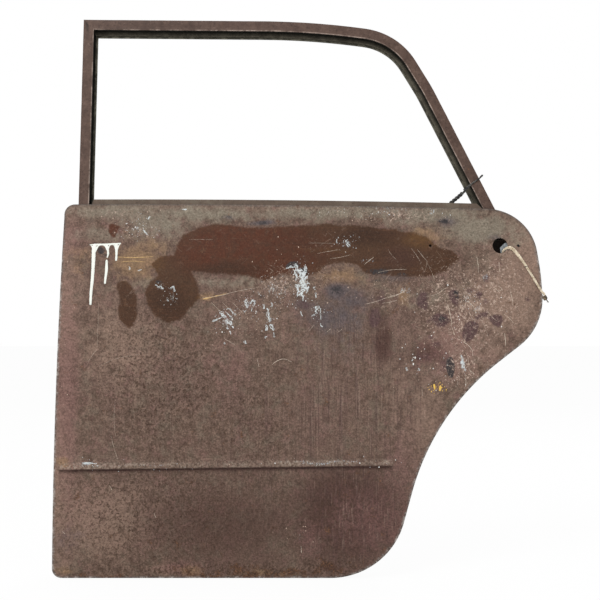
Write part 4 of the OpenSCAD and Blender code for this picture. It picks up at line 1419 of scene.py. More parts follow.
        reach = np.arange(self.swage.start[0] - 4, self.swage.end[0] + 4, self.pitch)
        lines = [np.column_stack([reach, self.swage.line(reach) + up]) for up in self.creases]
        rims = [hole.rim(self.round_off) for hole in self.holes]
        points, faces, edges = self.sheet(path.inset(half), rims, self.pitch, lines)
        front = maker.add(upright(points, self.dented(points[:, 0], points[:, 1])))
        maker.faces += [tuple(front[k] for k in f) for f in faces]
        last = [front[k] for k in edges[0]]
        for angle in range(30, 181, 30):
            a = math.radians(angle)
            ring = row(half * (1 - math.sin(a)), half * (1 - math.cos(a)))
            maker.bridge(last, ring)
            last = ring
        ring = row(np.full(len(x), self.hem_width), 2 * half)
        maker.bridge(last, ring)
        last = ring
        rims = [hole.rim(0.0) for hole in self.holes]
        points, faces, back_edges = self.sheet(path.inset(self.hem_width), rims, self.back_pitch, [])
        back = maker.add(upright(points, self.dented(points[:, 0], points[:, 1]) + self.thick))
        maker.faces += [tuple(back[k] for k in reversed(f)) for f in faces]
        maker.bridge(last, [back[k] for k in back_edges[0]])
        for k, hole in enumerate(self.holes):
            last = [front[j] for j in edges[k + 1]]
            for grow, deep in ((0.2, 0.2), (0.0, 0.6)):
                rim = hole.rim(grow)
                ring = maker.add(upright(rim, self.dented(rim[:, 0], rim[:, 1]) + deep))
                maker.bridge(last, ring)
                last = ring
            maker.bridge(last, [back[j] for j in back_edges[k + 1]])
        piece = maker.build("outer_skin_pressing", self.sharp)
        self.mark(piece)
        settle(piece, self.paint, "outer_paint", "outer_skin")

    def mark(self, piece: Thing) -> None:
        """Stores every mark at the skin's points.

        Args:
            piece: The skin.
        """
        x, _, z = places(piece).T
        flat = np.column_stack([x, z, np.zeros(len(x))])
        shift = [self.sway * wobble(flat, self.sway_size, seed) for seed in (1.0, 2.0)]
        values = {mark: np.zeros(len(x)) for mark in Mark}
        for mark, spots in SOFT_MARKS.items():
            for blot in spots:
                amount = blot.amount(x + shift[0], z + shift[1], self.depth, 1.1, 2.4)
                values[mark] = np.maximum(values[mark], amount)
        for patch in PATCHES:
            outline = np.array([SIGHT.on_surface(spot, self.depth) for spot in patch.outline])
            gap = gap_to(x + self.patch_sway * shift[0], z + self.patch_sway * shift[1], outline)
            amount = patch.strength * np.clip(0.5 + gap / patch.spread, 0, 1)
            values[patch.mark] = np.maximum(values[patch.mark], amount)
        self.mark_creases(piece, x, z)
        marks = list(Mark)
        for k in range(0, len(marks), 3):
            store(piece, f"marks_{k // 3}", *(values[m] for m in marks[k:k + 3]))

    def mark_creases(self, piece: Thing, x: Array, z: Array) -> None:
        """Stores how near each point lies under the swage's ledge, where shade is painted, to its ridge, where worn
        chalk and a painted highlight lie, and to the skin's rim.

        Args:
            piece: The skin.
            x: Where its points are, along the door.
            z: Where they are, up it.
        """
        up = z - self.swage.line(x)
        along = smooth_step((x - self.swage.start[0]) / 6) * smooth_step((self.swage.end[0] - x) / self.swage.fade)
        # painted shade under the swage's ledge
        groove_shade = np.exp(-((up + 3.4) / 3.4) ** 2) * along
        ridge = smooth_step((up + 0.5) / 1.5) * smooth_step((14 - up) / 4) * along
        rim = 1 - smooth_step((gap_to(x, z, Path(PANEL, 8.0).points) - 0.8) / 3.2)
        store(piece, "creases", groove_shade, ridge, rim)


class Leg(Enum):
    """The two sides of the window frame, each with the reach of its inner lip."""

    HEADER = 33.0
    POST = 28.0


@dataclass
class WindowFrame:
    """The open frame over the belt: a front post and a header that runs on into the rear post.

    The height of each bend of the header is counted from its top, and the slope is the rear post's.
    """

    paint: Material
    rubber: Material
    y: float = 0.2
    belt: float = 372.0
    tilt: float = math.radians(7.0)
    top: float = 383.0
    bends: tuple[Corner, ...] = (Corner(494, -4, 1600), Corner(667, -28, 140), Corner(734, -141, 300))
    slope: float = math.radians(63.8)
    post_x: float = 24.0
    post_lean: float = math.radians(0.5)
    tail: float = 60.0
    face: float = 21.0
    plate: float = 2.0
    bead: float = 1.6
    deep: float = 22.0
    wall: float = 1.2
    rebate: float = 8.0
    floor: float = 13.0
    run: float = 2.5
    gap: float = 0.3
    mitre: float = 0.9
    pitch: float = 6.0
    sharp: float = 40.0

    def post_at(self, w: float) -> float:
        """Gives the x of the front post's outer edge at a height on the frame."""
        return self.post_x + w * math.tan(self.post_lean)

    def line(self) -> Path:
        """Traces the outer edge of the header and rear post.

        Returns:
            The edge, from the mitre to the post's foot.
        """
        last = self.bends[-1]
        foot = last.x + (self.top + last.z + self.tail) / math.tan(self.slope)
        bends = [Corner(bend.x, self.top + bend.z, bend.r) for bend in self.bends]
        return Path((Corner(self.post_at(self.top), self.top, 0), *bends, Corner(foot, -self.tail, 0)),
                    self.pitch, closed=False)

    def section(self, leg: Leg) -> Array:
        """Draws the pressed section.

        Args:
            leg: Which side of the frame.

        Returns:
            How far in from the outer edge and how deep each of its points lies.
        """
        edge, back = self.face - self.bead, self.plate - self.bead / 2
        inner = (leg.value - self.bead, self.deep - self.bead)
        points = [(0.0, 1.4), (0.1, 0.6), (0.5, 0.12), (1.1, 0.0), (7.0, -0.05), (13.0, 0.0), (edge - 1.6, 0.12)]
        points += arc((edge, back), self.bead, -131, 90, 9)
        points += [(self.floor + self.wall, back + self.bead), (self.floor + self.wall, self.deep - self.wall)]
        points += arc(inner, self.bead, 166, 450, 10)
        points += [(self.rebate + 0.6, self.deep), (self.rebate, self.deep - 0.6), (self.rebate, self.plate + 0.4),
                   (self.rebate - 0.4, self.plate), (0.6, self.plate)]
        return np.array(points)

    def run_section(self, leg: Leg) -> Array:
        """Draws the U section of the glass run, with rounded lips.

        Args:
            leg: Which side of the frame.

        Returns:
            How far in from the outer edge and how deep each of its points lies.
        """
        base = self.floor + self.wall + self.gap
        out = self.plate + self.bead / 2 + self.gap
        back = self.deep - self.wall - self.gap
        half = self.run / 2
        points = [(base, out), (base, back)]
        points += arc((leg.value - 3 * self.bead - half, back - half), half, 90, -90, 6)
        points += [(base + self.run + 0.8, back - self.run), (base + self.run, back - self.run - 0.8)]
        points += [(base + self.run, out + self.run + 0.8), (base + self.run + 0.8, out + self.run)]
        points += arc((self.face + 1 - half, out + half), half, 90, -90, 6)
        return np.array(points)

    def world(self, x: Array, w: Array, v: Array) -> Array:
        """Turns places on the frame, as distance back, height and depth, into the door's frame."""
        c, s = math.cos(self.tilt), math.sin(self.tilt)
        return np.column_stack([x, self.y + v * c + w * s, self.belt - v * s + w * c])

    def rings(self, leg: Leg, section: Array, other: Array) -> list[Array]:
        """Gives the rings of a section along the header or the front post, from the mitre on.

        Args:
            leg: Which side of the frame.
            section: Its section.
            other: The section of the other side, which it meets at the mitre.

        Returns:
            One ring of points for each step.
        """
        u, v = section.T
        cross = other[:, 0]
        rings = []
        if leg is Leg.HEADER:
            path = self.line()
            start, top = path.points[0]
            for ahead in (0.0, self.mitre):
                rings.append(self.world(start + cross + ahead, top - u, v))
            clear = path.points[:, 0] > start + max(cross) + 3
            for p, n in zip(path.points[clear], path.outward[clear]):
                rings.append(self.world(p[0] - n[0] * u, p[1] - n[1] * u, v))
            return rings
        for ahead in (0.0, self.mitre):
            w = self.top - cross - ahead
            rings.append(self.world(self.post_at(self.top) + u - ahead * math.tan(self.post_lean), w, v))
        for w in [*np.arange(self.top - max(cross) - 4, -self.tail, -self.pitch), -self.tail]:
            rings.append(self.world(self.post_at(w) + u, np.full(len(u), w), v))
        return rings

    def mark(self, piece: Thing, section: Array, rubber: bool) -> None:
        """Stores how far a point lies on the inner lip, at the weld and on the bead of the face, where pale worn paint
        and a painted highlight lie.

        Args:
            piece: One of the frame's pieces.
            section: Its section.
            rubber: Whether it is a glass run.
        """
        p = places(piece)
        u = np.tile(section[:, 0], len(p) // len(section))
        c, s = math.cos(self.tilt), math.sin(self.tilt)
        v = (p[:, 1] - self.y) * c - (p[:, 2] - self.belt) * s
        w = (p[:, 1] - self.y) * s + (p[:, 2] - self.belt) * c
        # on a glass run only the part beyond the face's edge counts as inner lip; the rest stays near-black as painted
        # shade
        inner = smooth_step((v - 9) / 4) * (smooth_step((u - self.face - 2.5) / 3) if rubber else 1.0)
        inner = inner * (1 - 0.8 * smooth_step((v - 21.0) / 0.8))
        share = Leg.POST.value / Leg.HEADER.value
        off = np.abs((p[:, 0] - self.post_at(self.top)) - share * (self.top - w))
        seam = np.where((off < 0.5) & (w > self.top - 36) & (p[:, 0] < 70), 1.0, 0.0)
        # painted highlight on the face's bead, partly pale worn paint
        edge = np.where(v < 3.2, np.exp(-((u - self.face + 0.7) / 0.9) ** 2), 0.0)
        store(piece, "frame_marks_and_light", inner, seam, edge)

    def build(self) -> None:
        """Makes the four pieces of the frame."""
        for leg, other, node, run_node in ((Leg.HEADER, Leg.POST, "header_rail", "header_glass_run"),
                                           (Leg.POST, Leg.HEADER, "front_post", "front_glass_run")):
            for section, part, finish, slot, solid, rough in (
                (self.section, "pressing", self.paint, "frame_paint", node, 0.12),
                (self.run_section, "rubber", self.rubber, "old_rubber", run_node, 0.35),
            ):
                maker = MeshMaker()
                maker.sweep(self.rings(leg, section(leg), section(other)))
                points = np.array(maker.points)
                maker.points = list(points + rough * np.column_stack([wobble(points, 22.0, k) for k in (1, 2, 3)]))
                piece = maker.build(f"{node}_{part}", self.sharp)
                self.mark(piece, section(leg), part == "rubber")
                settle(piece, finish, slot, solid)


class Recipe(Wiring):
    """A Geometry Nodes tree in the making, with named sizes."""

    def __init__(self, name: str, sizes: dict[str, float | int]) -> None:
        """Starts a tree.

        Args:
            name: Name of the tree.
            sizes: Each size's name and value, a whole number for a count or a seed.
        """
        super().__init__(bpy.data.node_groups.new(name, "GeometryNodeTree"))
        face = self.tree.interface
        face.new_socket("Geometry", in_out="INPUT", socket_type="NodeSocketGeometry")
        face.new_socket("Geometry", in_out="OUTPUT", socket_type="NodeSocketGeometry")
        self.keys: dict[str, str] = {}
        for key, value in {**sizes, "Material": None}.items():
            kind = {int: "Int", float: "Float"}.get(type(value), "Material")
            self.keys[key] = face.new_socket(key, in_out="INPUT", socket_type=f"NodeSocket{kind}").identifier
        self.start = self.add("NodeGroupInput")
        self.sizes = sizes

    def get(self, key: str) -> Socket:
        """Looks up an input of the tree."""
        return self.start.outputs[key]

    def spread(self, points: Socket, thing: bpy.types.Node, **sockets: object) -> Socket:
        """Sets a copy of a node's shape at each point."""
        return self.add("GeometryNodeInstanceOnPoints", {"Points": points, "Instance": thing.outputs[0], **sockets}
                        ).outputs[0]

    def close(self, shape: Socket, smooth: bool = True) -> "Recipe":
        """Ends the tree: instances made real, shaded and dressed.

        Args:
            shape: The shape so far.
            smooth: Whether its faces are shaded smoothly.

        Returns:
            The recipe itself.
        """
        real = self.add("GeometryNodeRealizeInstances", {0: shape}).outputs[0]
        shaded = self.add("GeometryNodeSetShadeSmooth", {"Geometry": real, "Shade Smooth": smooth}).outputs[0]
        dressed = self.add("GeometryNodeSetMaterial", {"Geometry": shaded, "Material": self.get("Material")})
        self.add("NodeGroupOutput", {"Geometry": dressed.outputs[0]})
        return self

    def run(self, name: str, base: Thing, material: Material,
            **sizes: float | int) -> Thing:
        """Runs the tree on an object and keeps the result as a plain mesh.

        Args:
            name: Name of the new piece.
            base: Object that carries the tree, which is removed after it.
            material: Material of the result.
            sizes: Values that differ from the first ones.

        Returns:
            The piece.
        """
        modifier = base.modifiers.new("recipe", "NODES")
        modifier.node_group = self.tree
        for key, value in {**self.sizes, **sizes, "Material": material}.items():
            modifier[self.keys[key]] = value
        bpy.context.view_layer.update()
        graph = bpy.context.evaluated_depsgraph_get()
        mesh = bpy.data.meshes.new_from_object(base.evaluated_get(graph), depsgraph=graph)
        bpy.data.objects.remove(base)
        mesh.name = name
        return linked(bpy.data.objects.new(name, mesh))


def curve_object(points: Array, loop: bool = False) -> Thing:
    """Makes a bare curve, for a tree to work on.

    Args:
        points: Its points in millimetres, one row each.
        loop: Whether its end leads back to its start.

    Returns:
        The curve.
    """
    data = bpy.data.curves.new("route", "CURVE")
    data.dimensions = "3D"
    spline = data.splines.new("POLY")
    spline.points.add(len(points) - 1)
    spline.points.foreach_set("co", np.column_stack([points * MM, np.ones(len(points))]).ravel())
    spline.use_cyclic_u = loop
    return linked(bpy.data.objects.new("route", data))


def laid_rope() -> Recipe:
    """Builds the tree that lays strands round a curve.

    Returns:
        The tree's recipe.
    """
    r = Recipe("laid_rope", {"Strands": 3, "Strand Radius": 0.0013, "Lay Radius": 0.0012, "Turn": 430.0})
    curve = r.add("GeometryNodeResampleCurve", {"Curve": r.get("Geometry"), "Length": 0.0007}, mode="LENGTH")
    length = r.add("GeometryNodeSplineParameter").outputs["Length"]
    tilted = r.add("GeometryNodeSetCurveTilt", {"Curve": curve.outputs[0], "Tilt": r.times(length, r.get("Turn"))})
    ring = r.add("GeometryNodeMeshCircle", {"Vertices": r.get("Strands"), "Radius": r.get("Lay Radius")})
    strand = r.add("GeometryNodeCurvePrimitiveCircle", {"Resolution": 8, "Radius": r.get("Strand Radius")})
    profile = r.add("GeometryNodeRealizeInstances", {0: r.spread(ring.outputs[0], strand)}).outputs[0]
    tube = r.add("GeometryNodeCurveToMesh", {"Curve": tilted.outputs[0], "Profile Curve": profile, "Fill Caps": True})
    return r.close(tube.outputs[0])


def spot_welds() -> Recipe:
    """Builds the tree that sets weld spots along a curve, facing the cabin.

    Returns:
        The tree's recipe.
    """
    r = Recipe("spot_welds", {"Pitch": 0.045, "Radius": 0.003, "Height": 0.0004})
    points = r.add("GeometryNodeCurveToPoints", {"Curve": r.get("Geometry"), "Length": r.get("Pitch")}, mode="LENGTH")
    ball = r.add("GeometryNodeMeshUVSphere", {"Segments": 14, "Rings": 8, "Radius": 1.0})
    size = r.add("ShaderNodeCombineXYZ", {0: r.get("Radius"), 1: r.get("Height"), 2: r.get("Radius")})
    return r.close(r.spread(points.outputs[0], ball, Scale=size.outputs[0]))


def paint_chips() -> Recipe:
    """Builds the tree that scatters thin chips over a sheet, as thickly as the sheet says.

    Returns:
        The tree's recipe.
    """
    r = Recipe("paint_chips", {"Density": 9000.0, "Least": 0.0004, "Most": 0.0016, "Seed": 7})
    thick = r.add("GeometryNodeInputNamedAttribute", {"Name": "chips"}, data_type="FLOAT").outputs[0]
    points = r.add("GeometryNodeDistributePointsOnFaces",
                   {"Mesh": r.get("Geometry"), "Density": r.times(thick, r.get("Density")), "Seed": r.get("Seed")})
    chip = r.add("GeometryNodeMeshIcoSphere", {"Radius": 1.0, "Subdivisions": 1})
    size = r.add("FunctionNodeRandomValue", {"Min": r.get("Least"), "Max": r.get("Most"), "Seed": 3},
                 data_type="FLOAT").outputs[1]
    length = r.add("FunctionNodeRandomValue", {"Min": 0.5, "Max": 2.0, "Seed": 5}, data_type="FLOAT").outputs[1]
    scale = r.add("ShaderNodeCombineXYZ", {0: size, 1: r.times(size, length), 2: 0.00012})
    return r.close(r.spread(points.outputs["Points"], chip, Rotation=points.outputs["Rotation"],
                            Scale=scale.outputs[0]), smooth=False)


@dataclass(frozen=True)
class Stroke:
    """A thin line of paint or bare metal on the skin: its bends in pixels and its widths in mm.

    The dome is the cross-section of a ribbon: places across it, and how high each lies.
    """

    line: tuple[Spot, ...]
    widths: tuple[float, ...]
    rise: float = 0.12
    step: float = 1.0
    dome: tuple[Spot, ...] = ((-1, -0.3), (-0.75, 0.7), (0, 1), (0.75, 0.7), (1, -0.3))

    def add_to(self, maker: MeshMaker, skin: OuterSkin, seed: float, ragged: float, strands: int) -> None:
        """Adds the stroke to a mesh as low domed ribbons on the skin.

        Args:
            maker: Mesh that takes the ribbons.
            skin: Skin that they lie on.
            seed: Number that tells its ragged edge from the others'.
            ragged: How much the width wanders, as a share of it.
            strands: How many ribbons the stroke splits into.
        """
        bends = np.array([SIGHT.on_surface(spot, skin.depth) for spot in self.line])
        fine = smoothed(bends, 12) if len(bends) > 2 else np.linspace(bends[0], bends[-1], 24)
        run = np.concatenate([[0], np.cumsum(np.linalg.norm(np.diff(fine, axis=0), axis=1))])
        at = np.linspace(0, run[-1], max(5, int(run[-1] / self.step)))
        x, z = (np.interp(at, run, fine[:, k]) for k in (0, 1))
        whole = np.interp(at / run[-1], np.linspace(0, 1, len(self.widths)), self.widths) / 2
        ahead = np.column_stack([np.gradient(x), np.gradient(z)])
        ahead /= np.linalg.norm(ahead, axis=1)[:, None]
        for k in range(strands):
            own = seed + 31.7 * k
            lumps = np.column_stack([at, np.full(len(at), 7.3 * own), np.zeros(len(at))])
            width = whole * (0.8 / strands if strands > 1 else 1.0)
            width = width * np.clip(1 + ragged * (wobble(lumps, 6.0, own) + 1.4 * wobble(lumps, 2.3, own)), 0.06, 2.2)
            shift = whole * wobble(lumps, 6.0, own + 3.0) * (0.45 * strands if strands > 1 else 0.0)
            end = np.minimum(at, run[-1] - at)
            round_end = np.sqrt(np.clip(1 - (1 - end / np.maximum(width, 0.05)) ** 2, 0.02, 1))
            width = width * np.where(end < width, round_end, 1)
            rings = []
            for side, lift in self.dome:
                off = side * width + shift
                px, pz = x - ahead[:, 1] * off, z + ahead[:, 0] * off
                rings.append(np.column_stack([px, skin.dented(px, pz) - lift * self.rise, pz]))
            maker.sweep(list(np.array(rings).transpose(1, 0, 2)))


def strokes(*rows: Sequence) -> tuple[Stroke, ...]:
    """Makes a stroke of each row of bends, widths and perhaps a rise."""
    return tuple(Stroke(*row) for row in rows)


DRIPS = strokes(
    (((89.5, 244.7), (97, 244.6), (106, 244.4), (114, 244), (121, 243.2)), (1.4, 4.2, 3.6, 4.0, 2.2), 0.5),
    (((95, 243.6), (93.8, 250), (93.2, 264), (92.2, 280), (91.0, 292), (90.4, 305)), (9.0, 8.2, 7.0, 6.6, 5.8, 4.8),
     0.7),
    (((90.4, 244.9), (92.4, 247.4), (93.2, 253)), (1.6, 3.2, 3.0), 0.4),
    (((100.4, 244.8), (97.4, 246.8), (95.2, 252)), (1.6, 3.8, 3.0), 0.4),
    (((106.4, 244), (107.6, 249), (108, 254), (107, 258)), (6.0, 4.8, 4.6, 2.0), 0.5),
    (((102.6, 244.7), (105.4, 246.4), (107, 250.4)), (1.4, 2.8, 2.4), 0.4),
    (((111, 244.4), (109, 246.4), (108, 250.4)), (1.4, 2.6, 2.4), 0.4),
    (((106.6, 259.6), (106.4, 270), (105.4, 278), (104.8, 284)), (4.2, 6.2, 5.0, 4.2), 0.6),
    (((116.4, 243.6), (116.4, 251), (116.3, 256), (116, 261)), (7.0, 6.0, 4.8, 4.2), 0.6),
    (((112.4, 244.2), (114.6, 246), (115.6, 250)), (1.4, 2.6, 2.4), 0.4),
    (((120.6, 243.4), (118.6, 245.8), (117.2, 250)), (1.4, 2.6, 2.4), 0.4),
)

WHITE_SCUFFS = strokes(
    (((286, 268.5), (290, 267), (296, 267.5)), (2, 4, 4)), (((294.5, 264), (297, 268), (300, 272)), (5, 8, 9)),
    (((306, 266), (305, 270), (302, 274)), (5, 6, 9)),
    (((300, 271), (302.5, 276), (302, 281), (301.5, 286)), (10, 15, 9, 12)),
    (((294.5, 270), (296, 276), (296.5, 281)), (3, 4, 3)), (((308, 275.5), (304, 280)), (4, 5)),
    (((295, 284.7), (302, 285.5), (309.5, 283.8)), (2, 6, 3)), (((297, 286), (298, 291), (297.3, 297)), (7, 5, 2)),
    (((302, 286), (302.5, 291), (303, 295), (303, 301)), (16, 14, 7, 2)),
    (((307, 286), (307.5, 290), (306, 293.5)), (7, 6, 2)), (((247, 299), (245.5, 304), (247.6, 308)), (4, 5, 2.4)),
    (((250, 304), (252.5, 300.5), (255, 303), (253.5, 306)), (2.4, 3.4, 3, 2.4)),
    (((243.6, 312), (247, 310.4)), (2.4, 1.6)), (((251, 311.6), (252.4, 308.4)), (2, 1.4)),
    (((219, 312.5), (223, 315), (226, 318)), (4, 8, 6)), (((226, 319), (229, 322), (231.5, 325)), (5, 7, 4)),
    (((226.5, 327), (228.6, 329)), (4, 4)), (((231.5, 326), (233.6, 328.4)), (4, 4.6)),
    (((230, 331), (231, 335)), (1.6, 1.6)), (((212, 321.5), (216, 320), (222, 316.8)), (2.6, 3, 2)),
    (((226.5, 309.5), (230, 309), (233, 313), (236, 315)), (1.6, 2, 3, 3.6)),
    (((225, 311.5), (229, 315), (231.5, 317.5)), (1, 1.6, 3)), (((267, 308), (268.5, 314), (269, 322)), (3, 4.6, 3.4)),
    (((270, 324), (272, 327), (274, 330.5)), (4, 6, 5)), (((266.6, 325), (266, 331)), (3, 5)),
    (((263.5, 304), (264.5, 309)), (3, 4)), (((271.5, 302), (272, 307)), (2.4, 4)),
    (((265, 336.6), (266.2, 338)), (4.4, 4.4)), (((273.6, 332), (274.4, 337.4)), (1.6, 2.6)),
    (((245.4, 340.5), (245.8, 344)), (4.6, 4.2)), (((223.6, 343.6), (225.4, 343)), (3.2, 3)),
    (((316.6, 306), (317, 313.5)), (5, 6)), (((311, 316), (315, 314.2)), (2, 3.4)),
    (((319.4, 305.6), (319, 309)), (2.2, 2)), (((320.4, 308), (321, 314), (320.6, 320)), (1.4, 2, 1.4)),
    (((320.4, 323), (321, 325.6), (322.4, 327.4)), (1.6, 2.6, 3)), (((300.6, 311), (302.4, 316.4)), (2, 3.4)),
    (((313.6, 286.8), (315, 288)), (5.4, 5.4)), (((315.6, 292), (316, 298)), (2, 2.8)),
    (((155, 284.5), (160, 287.4), (164, 288.4)), (1.6, 3.6, 2.4)),
    (((171, 288.8), (173.4, 286), (174, 292)), (3, 3, 2.4)), (((167, 299), (168.4, 301.6)), (3.4, 3)),
    (((148, 219.6), (149.4, 216)), (3.4, 3.4)), (((182, 209.6), (187, 209)), (2, 4)),
    (((160.6, 286), (163.4, 289.6)), (1.6, 2.4)), (((143, 229.6), (146, 233), (148, 235)), (2, 3.6, 2)),
    (((128.6, 266), (130, 270)), (2, 3)), (((137.6, 271), (142, 269.8)), (2, 2.6)),
    (((82, 463), (90, 463.4), (97, 463.6)), (2, 3.6, 1.6)), (((461, 355), (463, 364), (465.6, 371)), (2.6, 6, 1.6)),
    (((418.6, 368), (419, 371)), (3.4, 3)), (((406, 367), (407, 371)), (2.4, 3.4)),
    (((411.6, 361.4), (413, 359)), (2.4, 3.2)), (((336.6, 239), (337, 243.4)), (2, 3)),
    (((346, 240), (349, 247)), (4, 5)),
)

SCRATCHES = strokes(
    (((202, 298), (220, 295.6), (238, 291), (255, 288)), (0.6, 1.2, 1.0, 0.6)),
    (((222, 302), (230, 309.6), (237, 315)), (0.5, 0.9, 0.5)), (((211, 302), (216, 307), (224, 314)), (0.5, 0.9, 0.5)),
    (((232, 302), (238, 308), (243, 313.6)), (0.5, 0.9, 0.5)),
    (((224, 338.4), (230, 342), (236, 345.6)), (0.6, 1.0, 0.5)),
    (((272, 365), (277, 361), (284, 359), (292, 362)), (1.0, 1.5, 1.2, 0.8)), (((257, 358), (259, 367)), (0.6, 1.0)),
    (((366, 304), (376, 301.6), (386, 298), (396, 295.6), (406, 290)), (1.0, 1.6, 0.9, 1.6, 0.8)),
    (((382, 303.4), (390, 302), (398, 300)), (0.8, 1.6, 0.6)),
    (((390, 296.4), (400, 293.6), (405, 291)), (1.4, 2.0, 0.8)),
    (((317, 253.6), (328, 251.4), (340, 249.4)), (0.4, 0.9, 0.4)),
    (((330, 258.6), (340, 257.4), (351, 254.6)), (0.6, 1.2, 0.5)),
    (((378, 272.6), (386, 270.6), (396, 269.6), (407, 269.4)), (1.2, 0.9, 1.1, 0.5)),
    (((364, 265), (369, 260.6), (374, 257)), (0.6, 1.8, 0.5)),
    (((388, 249), (391, 254), (396, 259.6)), (0.3, 0.8, 0.4)),
    (((411, 248), (417, 256), (421, 263.6)), (0.3, 0.8, 0.4)),
    (((417, 249), (423, 256.6), (427, 262), (425, 271)), (0.5, 1.0, 0.7, 0.4)),
    (((428, 264), (432, 273), (435, 281)), (0.4, 0.9, 0.5)),
    (((423, 297), (436, 294.4), (444, 289), (449, 285.6)), (0.4, 0.8, 0.9, 0.3)),
    (((98.5, 302), (98, 325), (97, 348)), (0.3, 0.6, 0.4)), (((97, 349), (91, 357), (87, 365)), (0.5, 0.9, 0.4)),
    (((115, 400), (114, 420), (115.5, 436)), (0.4, 0.7, 0.5)), (((111, 436), (114, 448), (118, 461)), (0.5, 0.9, 0.6)),
    (((98, 367), (115, 359), (140, 354)), (0.3, 0.6, 0.3)),
    (((448, 305), (451, 318), (452, 327), (455, 335)), (1.0, 1.8, 1.0, 1.6)),
    (((461, 340), (468, 345), (472, 350), (473, 356)), (0.8, 2.0, 1.2, 1.6)),
    (((464, 350), (468, 358), (469, 368), (472, 374)), (0.4, 1.0, 0.8, 1.6)),
    (((467, 301), (473, 306), (476, 314)), (1.2, 2.0, 0.8)), (((479, 317), (484, 325), (488, 336)), (0.3, 0.7, 0.4)),
    (((487, 310), (493, 318), (500, 322)), (0.4, 1.0, 0.4)), (((504, 314), (510, 319), (515, 325)), (0.8, 1.2, 0.4)),
    (((504.6, 333), (505.4, 339), (505.6, 346)), (1.6, 2.6, 1.0)),
    (((510, 288), (512, 298), (513, 306)), (0.8, 1.6, 0.5)),
    (((494, 287), (498, 291), (502, 289), (498, 286)), (0.8, 1.4, 1.2, 0.6)),
    (((499, 262), (499.6, 268), (500, 274)), (0.8, 1.8, 0.6)),
    (((476.6, 255), (478, 264), (478.6, 273)), (0.6, 1.6, 0.8)),
    (((465, 375), (466, 381), (465.6, 387)), (0.6, 1.2, 1.8)), (((470, 370), (474, 374)), (1.6, 2.2)),
    (((458, 380), (457, 385)), (0.8, 1.0)), (((422, 386), (422.6, 396)), (0.6, 0.9)),
    (((301, 546), (301.5, 553)), (1.3, 1.6)), (((109, 485), (112, 490)), (1.0, 1.4)),
    (((154, 513), (156, 518)), (1.0, 1.6)), (((62, 531), (65, 534)), (1.0, 1.8)),
    (((309, 331), (314, 325)), (0.5, 1.0)), (((326, 333), (331, 328.4)), (0.5, 1.0)),
    (((337, 333), (342, 329)), (0.5, 1.2)), (((189, 239.6), (200, 239.4), (213, 239.8)), (0.3, 0.7, 0.4)),
    (((308, 243), (320, 243), (336, 243.4)), (0.3, 0.5, 0.3)),
)

OCHRE_STROKES = strokes(
    (((118, 257), (135, 257.5), (153, 256.5)), (0.8, 1.6, 0.6), 0.08),
    (((120, 262), (132, 261), (146, 262)), (0.6, 1.0, 0.5), 0.08),
    (((203, 299), (210, 297.5), (228, 293)), (2.2, 1.4, 0.4), 0.08),
)

YELLOW_STROKES = strokes((((434, 384), (435, 390)), (3.0, 4.4, 2.6)), (((440.5, 385), (440, 391)), (3.4, 4.8, 3.0)))


@dataclass(frozen=True)
class Scatter:
    """Chips of one paint: their seed, the spots where they lie, and the sizes that differ from the tree's."""

    name: str
    finish: Spill
    seed: int
    spots: tuple[Blot, ...]
    sizes: dict[str, float] = field(default_factory=dict)


YELLOW = Spill("yellow_smear", (0.72, 0.46, 0.10), (0.40, 0.26, 0.12), 0.5)

SCATTERS = (
    Scatter("yellow_flecks", YELLOW, 41, blots((438, 388, 5.5, 3), (431, 386, 3, 2, 0.5)),
            {"Density": 120000.0, "Least": 0.0004, "Most": 0.0011}),
    Scatter("white_chips", Spill("white_flakes", (0.70, 0.69, 0.66), (0.45, 0.40, 0.34), 0.6), 11, blots(
        (302, 282, 9, 18, 0.7), (250, 305, 30, 16, 0.25), (228, 322, 12, 14, 0.3), (88, 464, 12, 3, 0.8),
        (330, 462.6, 56, 2, 0.5), (385, 209, 44, 7, 0.34), (137, 229, 10, 8, 0.25), (470, 320, 60, 60, 0.07),
        (440, 368, 30, 24, 0.2), (414, 362, 12, 16, 0.5), (170, 296, 14, 14, 0.14), (280, 330, 220, 160, 0.012),
    )),
    Scatter("fine_white_chips", Spill("fine_flakes", (0.56, 0.58, 0.58), (0.38, 0.36, 0.34), 0.6), 31, blots(
        (301, 281, 7, 16), (250, 306, 9, 8, 0.6), (228, 321, 11, 10, 0.6), (269, 316, 5, 14, 0.5),
        (318, 311, 5, 9, 0.5), (328, 462.6, 52, 1.9, 0.8), (150, 465.6, 50, 1.6, 0.45), (88, 463.6, 10, 2.4, 0.9),
        (346, 241, 8, 6, 0.6), (140, 228, 18, 11, 0.35), (172, 297, 7, 8, 0.3), (160, 286, 6, 3, 0.5),
        (385, 208, 44, 6, 0.55), (280, 290, 20, 14, 0.25), (470, 300, 12, 12, 0.3), (463, 364, 3, 9, 0.6),
    ), {"Density": 80000.0, "Least": 0.00025, "Most": 0.0008}),
    Scatter("salmon_chips", Spill("salmon_flakes", (0.50, 0.37, 0.29), (0.36, 0.27, 0.21), 0.6), 23, blots(
        (279, 284, 26, 28, 0.5), (325, 285, 18, 16, 0.45), (345, 243, 9, 9, 0.5), (385, 210, 44, 10, 0.5),
        (140, 228, 26, 14, 0.4), (430, 340, 26, 20, 0.3), (470, 300, 60, 56, 0.22), (250, 320, 44, 24, 0.25),
        (445, 370, 34, 26, 0.3), (395, 292, 34, 16, 0.35), (110, 212, 60, 10, 0.16), (60, 300, 18, 90, 0.1),
        (310, 462.6, 70, 2.4, 0.9), (150, 465, 60, 2.4, 0.6), (298, 532, 20, 14, 0.3), (300, 400, 260, 190, 0.02),
    ), {"Least": 0.0004, "Most": 0.0011}),
)


